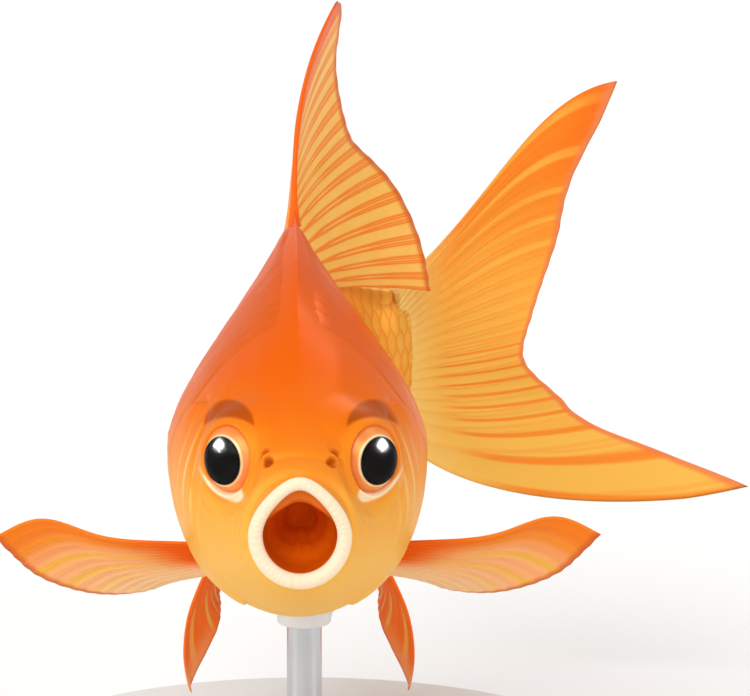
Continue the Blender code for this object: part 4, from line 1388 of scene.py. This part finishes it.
# %% The paired fins' surfaces
PECTORAL = {
    "roots": ((9.8, 32.3, -8.8), (8.1, 34.8, -13.1)),
    "directions": ((1.0, 0.10, 0.03), (0.80, 0.45, -0.19)),
    "lengths": ((0.0, 27.8), (0.12, 26.0), (0.3, 23.6), (0.5, 19.7), (0.75, 14.8), (0.9, 11.5), (1.0, 10.5)),
    "bow": (0.0, 1.5, -2.3),
    "sag": (0.0, 0.0, -2.8),
    "hump": 3.2,
    "drift": 0.0,
}
PELVIC = {
    "roots": ((10.0, 50.9, -14.5), (7.8, 54.5, -16.5)),
    "directions": ((0.39, 0.58, -0.82), (0.43, 0.81, -0.55)),
    "lengths": ((0.0, 27.8), (0.12, 27.9), (0.35, 18.7), (0.7, 14.4), (0.9, 12.6), (1.0, 11.0)),
    "bow": (-6.2, 1.6, -1.9),
    "sag": (-0.9, 0.0, 0.4),
    "hump": 0.0,
    "drift": 0.7,
}
BOW_LESS_BEHIND, BOW_POWER = 0.65, 2.5
HUMP_AT, HUMP_OVER = 0.80, 0.22


def paired_point(shape, side, u, v):
    """A pectoral or pelvic fin: u runs from its leading edge to its trailing edge."""
    mirror = np.array((side, 1.0, 1.0))
    first, last = (unit(np.array(direction)) for direction in shape["directions"])
    along = unit(first + (last - first) * u[..., None])
    growth = np.maximum(v, 0) ** BOW_POWER
    bow = np.array(shape["bow"]) * ((1 - BOW_LESS_BEHIND * u) * growth)[..., None]
    bow = bow + np.array(shape["sag"]) * (4 * u * (1 - u) * growth)[..., None]
    bow[..., 2] += shape["hump"] * (1 - u) ** 2 * bump(v, HUMP_AT, HUMP_OVER)
    reach = (along * (smooth_through(shape["lengths"], u) * v)[..., None] + bow) * mirror
    reach = (reach + (shape["drift"] * v)[..., None] * (1, 0, 0)) * MM
    front, rear = (np.array(root) * mirror * MM for root in shape["roots"])
    root = front + (rear - front) * u[..., None]
    spot, yaw = midline(root[..., 1])
    out = reach + root * (1, 0, 1)
    ahead = heading(yaw) * out[..., 1:2] + leftwards(yaw) * out[..., 0:1]
    return spot + ahead + out * (0, 0, 1)


print("the side fins reach", PECTORAL["lengths"][0][1], "mm out, and the belly fins", PELVIC["lengths"][0][1])

# %% [markdown]
# ## Rays in relief
#
# Every soft ray of a goldfish's fin divides into two, and most divide again, so a ray that is one ridge
# at the root is a bundle of fine ones at the margin. Folding the distance from the ray twice with abs()
# gives just that pattern. The sheet's two sides share the points of its edge, and each side bulges over
# the rays.

# %% Rays
# (how far the halves part, in rays, and the reaches where they start to part and are apart)
SPLITS = ((0.135, 0.28, 0.50), (0.062, 0.58, 0.80))
RAY_WIDTH, RAY_NARROWS = 0.175, 0.115


def ray_ridges(p, v):
    """Height of the rays, 0 to 1, at ray number p and reach v: each ray divides at the reaches in SPLITS."""
    away = np.abs(p - np.round(p))
    for offset, start, end in SPLITS:
        away = np.abs(away - offset * ease(v, start, end))
    return bump(away, 0, RAY_WIDTH - RAY_NARROWS * ease(v, 0.1, 0.85))


print("a ray ends in", 2 ** len(SPLITS), "branches")

# %% [markdown]
# ## From surface to fin
#
# The surface has no thickness. It could be given one by a Solidify modifier, but a fin isn't equally
# thick: membrane between rays, fleshy at the root, stout along a leading spine, and nothing at its
# margin. So both sides are moved off the surface by half a thickness that is worked out point by point.
# The margin dips a little between the rays, and the rays' joints show as fine notches.

# %% Build a fin
MEMBRANE_HALF, RAY_HALF, RAYS_THIN = 0.065 * MM, 0.20 * MM, 0.68
SCALLOP, JOINT_SPACING, JOINT_DEPTH = 0.08 * MM, 0.24 * MM, 0.10


def build_fin(name, surface, rays, per_ray, steps, leading=0.0, fleshy=(0.0, 1.0), start=0.0):
    """A closed sheet over a surface. leading thickens the first ray; fleshy is (mm, over mm) at the root."""
    across = np.linspace(0, 1, (rays - 1) * per_ray + 1)
    along = start + (1 - start) * np.linspace(0, 1, steps) ** 0.9
    u, v = np.meshgrid(across, along, indexing="ij")
    p = u * (rays - 1)
    tips, roots = surface(across, np.ones_like(across)), surface(across, np.zeros_like(across))
    length = np.linalg.norm(tips - roots, axis=-1)
    dip = SCALLOP / np.maximum(length, 4 * MM) * np.sin(np.pi * (p[:, 0] % 1)) ** 2
    reach = v * (1 - dip[:, None])
    points = surface(u, reach)
    grow = np.gradient(points, axis=1)
    wide = np.gradient(points, axis=0)
    normal = unit(np.cross(grow, wide))
    ridge = ray_ridges(p, v)
    joints = 1 - JOINT_DEPTH * (np.sin(v * length[:, None] / JOINT_SPACING) > 0.86) * ease(v, 0.35, 0.5)
    half = MEMBRANE_HALF + RAY_HALF * ridge * joints * (1 - RAYS_THIN * v)
    half = half + leading * MM * bump(p, 0.25, 0.5) * (1 - 0.75 * v)
    half = half + fleshy[0] * MM * np.clip(1 - v * length[:, None] / (fleshy[1] * MM), 0, 1.2) ** 2
    edge = np.minimum(np.minimum(u / across[3], (1 - u) / across[3]), (1 - v) / (1 - along[-2]))
    edge = np.minimum(edge, (v - along[0]) / (along[1] - along[0]))
    half = half * np.clip(edge, 0, 1) ** 0.5
    front, back = points + normal * half[..., None], points - normal * half[..., None]
    return fin_object(name, front, back, {"ray": p, "reach": v, "ridge": ridge, "across": u})


def fin_object(name, front, back, numbers):
    """One closed mesh of a fin's two sides, which share the points of its edge."""
    rows, columns = front.shape[:2]
    size = rows * columns
    inner = np.arange(size).reshape(rows, columns)[1:-1, 1:-1].ravel()
    back_number = np.arange(size)
    back_number[inner] = size + np.arange(len(inner))
    quads = grid_faces(rows, columns, False)
    points = np.vstack((front.reshape(-1, 3), back.reshape(-1, 3)[inner]))
    faces = np.concatenate((quads, back_number[quads][:, ::-1]))
    spread = {key: np.concatenate((values.ravel(), values.ravel()[inner])) for key, values in numbers.items()}
    made = mesh_object(name, points, faces, spread)
    u, v = numbers["across"].ravel(), numbers["reach"].ravel()
    corner = np.concatenate((quads, quads[:, ::-1]))
    half = np.repeat((0.0, 0.5), len(quads))[:, None]
    add_map(made, np.stack((u[corner] * 0.48 + half + 0.01, v[corner] * 0.98 + 0.01), -1))
    return made


print("a fin's membrane is", round(2 * MEMBRANE_HALF / MM, 2), "mm thick")

# %% [markdown]
# ## What the fins' finishes share
#
# A fin's membrane is thin enough for light to pass into it, wet, and finely fibrous between the rays. So
# all fins start from one finish. The mesh carries what the colours are mixed from: the number of the ray,
# the reach along it, the height of the ridge, and the share of the way across.

# %% Start a fin's finish
FIN_DEEP = (0.84, 0.125, 0.003, 1)
# painted light: the belly fins' and anal fin's orange, brightened to make up for the shade under the body
FIN_BRIGHTENED_AGAINST_SHADE = (1.0, 0.165, 0.004, 1)
FIN_ORANGE = (0.87, 0.205, 0.012, 1)
FIN_AMBER = (0.90, 0.34, 0.034, 1)
FIN_GOLD = (0.90, 0.47, 0.070, 1)
FIN_YELLOW = (0.86, 0.49, 0.085, 1)
FIN_PALE = (0.92, 0.60, 0.17, 1)
FIN_SALMON = (0.93, 0.42, 0.17, 1)
FIN_PINK = (0.93, 0.60, 0.33, 1)
FIN_EDGE = (0.62, 0.11, 0.020, 1)
FIN_MARGIN = (0.80, 0.22, 0.07, 1)


def start_fin(name):
    """A fin's material with its fine relief, and the fields that its colours are mixed from."""
    material, shader, start = start_finish(
        name,
        Roughness=0.42,
        IOR=1.22,
        Specular_Tint=WARM_SHINE,
        Coat_Weight=0.05,
        Coat_Roughness=0.2,
        Subsurface_Weight=0.2,
        Subsurface_Scale=0.0006,
    )
    shader.inputs["Subsurface Radius"].default_value = (1.0, 0.35, 0.12)
    ray, reach, ridge, across = (attribute(start, key) for key in ("ray", "reach", "ridge", "across"))
    fibres = (ray * 2 * math.pi * 8).sine() * 0.5 + 0.5
    wrinkles = grain(start, 700.0, 3.0)
    connect(shader, "Normal", relief(start, fibres * 0.5 + wrinkles * 0.5, 0.00005, 0.4))
    return material, shader, ray, reach, ridge, across, wrinkles


def edge_line(reach, start=0.955):
    """1 on the dark line at a fin's margin."""
    return reach.rise(start, start + 0.03)


print("the fins' colours go from", FIN_DEEP[:3], "to", FIN_PINK[:3])

# %% [markdown]
# ## The colours of each fin
#
# The fins share a build but not a pattern. The back fin is gold with orange rays behind a stout orange
# leading spine. The tail fin is gold at its root and in its lower lobe and deepens to orange towards the
# upper lobe and the tips. The side fins are salmon with gold streaks, and the small belly fins are the
# deepest orange of all.

# %% Back fin and tail fin
material, shader, ray, reach, ridge, across, wrinkles = start_fin("dorsal_finish")
colour = (wrinkles * 0.8).tint(FIN_GOLD, FIN_PALE)
colour = (ridge.rise(0.25, 0.75) * 0.85).tint(colour, FIN_ORANGE)
colour = (ray + reach * 1.2).rise(3.0, 2.3).tint(colour, FIN_DEEP)
colour = (edge_line(reach) * 0.8).tint(colour, FIN_EDGE)
connect(shader, "Base Color", colour)
dorsal = build_fin("dorsal_fin_skin", dorsal_point, 18, 16, 110, leading=0.30, fleshy=(0.5, 5.0))
dorsal.data.materials.append(material)
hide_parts("dorsal_fin")

material, shader, ray, reach, ridge, across, wrinkles = start_fin("caudal_finish")
thin, broad = (ray * math.pi * 2.4 + reach * 2.0).sine(), (ray * math.pi * 1.5 + reach * 1.5).sine()
colour = (across + reach * 0.25).rise(0.35, 1.15).tint(FIN_YELLOW, FIN_AMBER)
colour = (across + reach * 0.30).rise(0.85, 1.28).tint(colour, FIN_ORANGE)
light = broad.rise(0.6, 0.97) * reach.rise(0.25, 0.5) * across.rise(0.60, 0.75)
colour = (light * 0.7).tint(colour, FIN_GOLD)
dark = thin.rise(0.5, 0.95) * reach.rise(0.28, 0.50) * across.rise(0.52, 0.36)
colour = (dark * 0.75).tint(colour, FIN_ORANGE)
colour = (ridge.rise(0.4, 0.9) * reach.rise(0.1, 0.4) * 0.25).tint(colour, FIN_ORANGE)
colour = (reach + wrinkles * 0.1).rise(0.45, 0.04).tint(colour, FIN_PALE)
colour = (reach.rise(0.8, 1.0) * across.rise(0.83, 1.0) * 0.7).tint(colour, FIN_DEEP)
colour = (edge_line(reach) * 0.9).tint(colour, FIN_MARGIN)
connect(shader, "Base Color", colour)
caudal = build_fin("caudal_fin_skin", caudal_point, 20, 16, 110, fleshy=(2.0, 9.0))
caudal.data.materials.append(material)
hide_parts("caudal_fin_upper", "caudal_fin_lower")
print("the back fin has", len(dorsal.data.polygons), "faces and the tail fin", len(caudal.data.polygons))

# %% [markdown]
# ## Side fins, belly fins and anal fin
#
# The side fins are salmon, with gold streaks between the rays, a deep orange front edge and root, and cream
# behind the root, where the fin is thinnest. The belly fins are deep orange, with a few gold streaks towards
# the tips, and the anal fin has the same finish. Their orange is brightened beyond the other fins', as
# painted light against the shade under the body. The streaks are sines of the ray's number, so they run along
# the rays.

# %% Finish the paired fins
material, shader, ray, reach, ridge, across, wrinkles = start_fin("pectoral_finish")
streak = (ray * math.pi * 0.9 + reach * 2.2 + wrinkles * 0.8).sine()
colour = (streak.rise(0.1, 0.9) * 0.9).tint(FIN_SALMON, FIN_GOLD)
colour = (across.rise(0.35, 0.85) * 0.8).tint(colour, FIN_PINK)
colour = across.rise(0.32, 0.05).tint(colour, FIN_ORANGE)
colour = (reach.rise(0.55, 0.20) * across.rise(0.85, 0.45)).tint(colour, FIN_DEEP)
colour = (edge_line(reach, 0.96) * 0.8).tint(colour, FIN_EDGE)
connect(shader, "Base Color", colour)
pectoral_finish = material

material, shader, ray, reach, ridge, across, wrinkles = start_fin("pelvic_finish")
streak = (ray * math.pi * 1.4 + reach * 1.5).sine()
streaks = streak.rise(0.55, 0.95) * reach.rise(0.4, 0.65) * reach.rise(1.0, 0.85)
# painted light: this deep orange is brightened to make up for the shade under the body
colour = (streaks * across.rise(0.05, 0.25)).tint(FIN_BRIGHTENED_AGAINST_SHADE, FIN_GOLD)
colour = (reach.rise(0.78, 1.0) * across.rise(0.5, 0.1) * 0.8).tint(colour, FIN_SALMON)
colour = (edge_line(reach, 0.965) * 0.6).tint(colour, FIN_EDGE)
connect(shader, "Base Color", colour)
pelvic_finish = material
print("the paired fins' finishes are", pectoral_finish.name, "and", pelvic_finish.name)

# %% [markdown]
# ## Build the paired fins
#
# The left fins could be mirrored copies of the right ones. But the body is bent, and the belly fins
# drift to one side, so the two of a pair differ, and each is built by itself from its table and its side.
# A side fin has fifteen rays and a belly fin nine, about as many as a real goldfish has.

# %% Paired fins and anal fin
from functools import partial

fins = [dorsal, caudal]
for hand, side in (("left", 1), ("right", -1)):
    pair = (("pectoral", PECTORAL, pectoral_finish, 15), ("pelvic", PELVIC, pelvic_finish, 9))
    for kind, shape, finish, rays in pair:
        surface = partial(paired_point, shape, side)
        name = kind + "_fin_" + hand
        fin = build_fin(name + "_skin", surface, rays, 14, 76, leading=0.12, fleshy=(0.75, 3.0), start=-0.07)
        fin.data.materials.append(finish)
        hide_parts(name)
        fins.append(fin)
anal = build_fin("anal_fin_skin", anal_point, 8, 16, 60, leading=0.12, fleshy=(0.5, 5.0))
anal.data.materials.append(pelvic_finish)
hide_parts("anal_fin")
for fin in fins + [anal]:
    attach(fin, "root")
print("fins have", sum(len(fin.data.polygons) for fin in fins + [anal]), "faces")

# %% [markdown]
# ## The stand
#
# The stand is turned work: a heavy painted disc with a rounded edge, a steel rod in a collar, and a cup
# under the belly. The packed solids have the right shapes in coarser steps, and could be kept. They are
# turned again, because the eye is quick to find corners on a round thing. The paint is faintly speckled,
# and the steel keeps the fine rings of the lathe.

# %% Finishes of the stand
STAND_WHITE, STAND_SPECKLE = (0.82, 0.82, 0.805, 1), (0.76, 0.76, 0.745, 1)
STEEL_LIGHT, STEEL_DARK = (0.66, 0.66, 0.67, 1), (0.52, 0.53, 0.54, 1)
white_finish, shader, start = start_finish("painted_white", Coat_Weight=0.2, Coat_Roughness=0.2)
speckle = grain(start, 400.0, 4.0)
connect(shader, "Base Color", speckle.tint(STAND_SPECKLE, STAND_WHITE))
connect(shader, "Roughness", grain(start, 90.0) * 0.15 + 0.36)
connect(shader, "Normal", relief(start, speckle, 0.00004, 0.5))

steel_finish, shader, start = start_finish("turned_steel", Metallic=1.0)
_, _, up = position(start)
lathe = (up * 60.0 + grain(start, 500.0) * 5.0).sine() * 0.5 + 0.5
connect(shader, "Base Color", grain(start, 120.0).tint(STEEL_DARK, STEEL_LIGHT))
connect(shader, "Roughness", lathe * 0.12 + 0.2)
connect(shader, "Normal", relief(start, lathe, 0.00001, 0.5))
print("finishes for the stand:", white_finish.name, "and", steel_finish.name)

# %% [markdown]
# ## Turn the stand
#
# A turned piece with sharp corners looks like a drawing of one, because real edges are broken so that
# they don't cut. A bevel would do it, but it is quicker to round the profile's corners before it is
# turned. All four pieces are rows of one table. The cup is hollowed a little, to follow the belly.

# %% Turn the stand
BASE_RADIUS, BASE_HEIGHT = 42 * MM, 7 * MM
ROD_RADIUS, SUNK = 2.2 * MM, 1 * MM
COLLAR_RADIUS, COLLAR_HEIGHT, COLLAR_SLOPE = 5.5 * MM, 3.0 * MM, 1.4 * MM
CRADLE_RADIUS, CRADLE_HEIGHT, CRADLE_RIM = 5.5 * MM, 5.0 * MM, 1.2 * MM
CRADLE_TOP = SNOUT[2] - 18.6 * MM
STAND_AROUND, BASE_AROUND = 128, 256
UP = np.array((0.0, 0.0, 1.0))
FOOT, SEAT = BASE_HEIGHT + 0.3 * MM, CRADLE_TOP - CRADLE_HEIGHT


def rounded(corners, radius, steps=6):
    """A profile whose inner corners are rounded, as (distance from the axis, height) points."""
    corners = np.asarray(corners, float)
    points = [corners[0]]
    for before, corner, after in zip(corners, corners[1:], corners[2:]):
        reach = min(radius, np.linalg.norm(before - corner) / 2.01, np.linalg.norm(after - corner) / 2.01)
        start = corner + unit(before - corner) * reach
        end = corner + unit(after - corner) * reach
        for t in np.linspace(0, 1, steps):
            points.append(start * (1 - t) ** 2 + 2 * corner * t * (1 - t) + end * t * t)
    return np.array(points + [corners[-1]])


base = (0, BASE_HEIGHT), (BASE_RADIUS, BASE_HEIGHT), (BASE_RADIUS, 0), (0, 0)
rod = (0, SEAT + SUNK), (ROD_RADIUS, SEAT + SUNK), (ROD_RADIUS, FOOT - SUNK), (0, FOOT - SUNK)
collar = (
    (0, FOOT + COLLAR_HEIGHT),
    (COLLAR_RADIUS - COLLAR_SLOPE, FOOT + COLLAR_HEIGHT),
    (COLLAR_RADIUS, FOOT + COLLAR_HEIGHT - COLLAR_SLOPE),
    (COLLAR_RADIUS, FOOT - 0.2 * MM),
    (0, FOOT - 0.2 * MM),
)
cradle = (
    (0, CRADLE_TOP - 1.9 * MM),
    (CRADLE_RADIUS - 1.6 * MM, CRADLE_TOP - 0.5 * MM),
    (CRADLE_RADIUS, CRADLE_TOP),
    (CRADLE_RADIUS, CRADLE_TOP - CRADLE_RIM),
    (ROD_RADIUS + CRADLE_RIM, SEAT + CRADLE_RIM),
    (ROD_RADIUS + CRADLE_RIM, SEAT),
    (0, SEAT),
)
for node, corners, radius, finish, slot, around in (
    ("stand_base", base, 1.6 * MM, white_finish, "stand_white", BASE_AROUND),
    ("stand_rod", rod, 0.2 * MM, steel_finish, "steel", STAND_AROUND),
    ("stand_collar", collar, 0.35 * MM, steel_finish, "steel", STAND_AROUND),
    ("stand_cradle", cradle, 0.6 * MM, white_finish, "stand_white", STAND_AROUND),
):
    piece = closed_turned(node + "_turned", rounded(corners, radius), np.zeros(3), UP, around)
    piece.data.materials.append(finish)
    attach(piece, "root")
    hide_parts(node)
print("the stand is", round(CRADLE_TOP / MM, 1), "mm high")

# %% [markdown]
# ## Floor
#
# The model stands on a pale table top. It could be a board with an edge, but an edge would draw a line
# behind the fins. So the floor is a plane too large to end in view, with the faintest mottle, because a
# quite even plane would look drawn.

# %% The floor
FLOOR_SIZE = 30.0
PAPER, PAPER_DARKER = (0.93, 0.93, 0.92, 1), (0.90, 0.90, 0.895, 1)
bpy.ops.mesh.primitive_plane_add(size=FLOOR_SIZE)
floor = bpy.context.object
floor.name = "floor"
material, shader, start = start_finish("pale_floor", Roughness=0.75)
connect(shader, "Base Color", grain(start, 8.0).tint(PAPER_DARKER, PAPER))
floor.data.materials.append(material)
print("the floor is", FLOOR_SIZE, "m wide")

# %% [markdown]
# ## Soft light
#
# Two lamps stand at the fish's sides like windows, and one behind draws the edges of its fins. A soft
# sun above and a pale room all round fill the rest. One large lamp in front would be simpler, but it
# would flatten the head.

# %% Lamps for the whole fish


def area_light(name, place, aim, size, power):
    """A square lamp of a given size in metres and power in watts, at a place and facing another."""
    lamp = bpy.data.lights.new(name, "AREA")
    lamp.size, lamp.energy = size, power
    made = bpy.data.objects.new(name, lamp)
    bpy.context.scene.collection.objects.link(made)
    made.location = place
    made.rotation_euler = (Vector(aim) - Vector(place)).to_track_quat("-Z", "Y").to_euler()
    return made


FISH_MIDDLE = (0, 0, 0.05)
SKY_POWER, SKY_FROM, ROOM_POWER = 1.75, (-0.35, -0.75, 0.85), 0.50
area_light("window_left", (-1.05, -0.45, 0.52), FISH_MIDDLE, 0.5, 3.6)
area_light("window_right", (1.05, -0.45, 0.52), FISH_MIDDLE, 0.5, 3.2)
area_light("edges", (0.25, 0.8, 0.7), FISH_MIDDLE, 0.4, 1.5)
sky = bpy.data.lights.new("ceiling", "SUN")
sky.energy, sky.angle = SKY_POWER, math.radians(50)
ceiling = bpy.data.objects.new("ceiling", sky)
bpy.context.scene.collection.objects.link(ceiling)
ceiling.rotation_euler = (-Vector(SKY_FROM)).to_track_quat("-Z", "Y").to_euler()
world = bpy.data.worlds.new("studio")
bpy.context.scene.world = world
world.use_nodes = True
world.node_tree.nodes["Background"].inputs["Color"].default_value = (1.0, 1.0, 1.0, 1)
world.node_tree.nodes["Background"].inputs["Strength"].default_value = ROOM_POWER
bpy.context.scene.view_settings.view_transform = "Standard"
print("lamps:", ", ".join(lamp.name for lamp in bpy.data.lights))

# %% [markdown]
# ## A glint in each eye
#
# A dark eye without a glint looks dead. A white spot could be painted on it, but that would stay in
# place when the viewer moves. So each eye gets a lamp of its own. Light linking lets these two lamps
# shine on the clear domes and on nothing else, and each stands where a mirror at the upper outer part of
# the dome would throw its light to the camera.

# %% Lamps for the eyes
GLINT_AWAY, GLINT_WIDE, GLINT_TALL, GLINT_POWER = 1.2, 0.66, 0.44, 340.0
GLINT_FROM = (0.909, -0.017, 0.417)
domes = bpy.data.collections.new("domes")
for hand, side in (("left", 1), ("right", -1)):
    domes.objects.link(bpy.data.objects["eye_" + hand + "_dome"])
    centre = SNOUT + EYE_CENTRE * (side, 1, 1) * MM
    place = centre + np.array(GLINT_FROM) * (side, 1, 1) * GLINT_AWAY
    lamp = area_light("glint_" + hand, tuple(place), tuple(centre), GLINT_WIDE, GLINT_POWER)
    lamp.data.shape, lamp.data.size_y = "RECTANGLE", GLINT_TALL
    lamp.light_linking.receiver_collection = domes
print("glint lamps", GLINT_AWAY, "m from the eyes")

# %% [markdown]
# ## Camera
#
# The fish meets its viewer from just below eye level, so the camera looks down on it by thirteen
# degrees. It stands nearly a metre away, which keeps the near head from swelling, and its lens is long
# enough to fill the frame from there. It stays well above the floor.

# %% The camera
CAMERA_ELEVATION = math.radians(13)
CAMERA_DISTANCE = 0.9
CAMERA_RIGHT, CAMERA_UP = 8.88 * MM, 22.73 * MM
VIEW_WIDTH = 88.8 * MM
SENSOR = 36.0
forward = Vector((0, math.cos(CAMERA_ELEVATION), -math.sin(CAMERA_ELEVATION)))
above = Vector((0, math.sin(CAMERA_ELEVATION), math.cos(CAMERA_ELEVATION)))
target = Vector(SNOUT) + Vector((CAMERA_RIGHT, 0, 0)) + above * CAMERA_UP
lens = bpy.data.cameras.new("camera")
lens.sensor_width, lens.lens = SENSOR, SENSOR * CAMERA_DISTANCE / VIEW_WIDTH
lens.clip_start, lens.clip_end = 0.01, 100
camera = bpy.data.objects.new("camera", lens)
bpy.context.scene.collection.objects.link(camera)
camera.location = target - forward * CAMERA_DISTANCE
camera.rotation_euler = forward.to_track_quat("-Z", "Y").to_euler()
bpy.context.scene.camera = camera
print("the camera is", round(camera.location.z, 3), "m above the floor, with a", round(lens.lens), "mm lens")
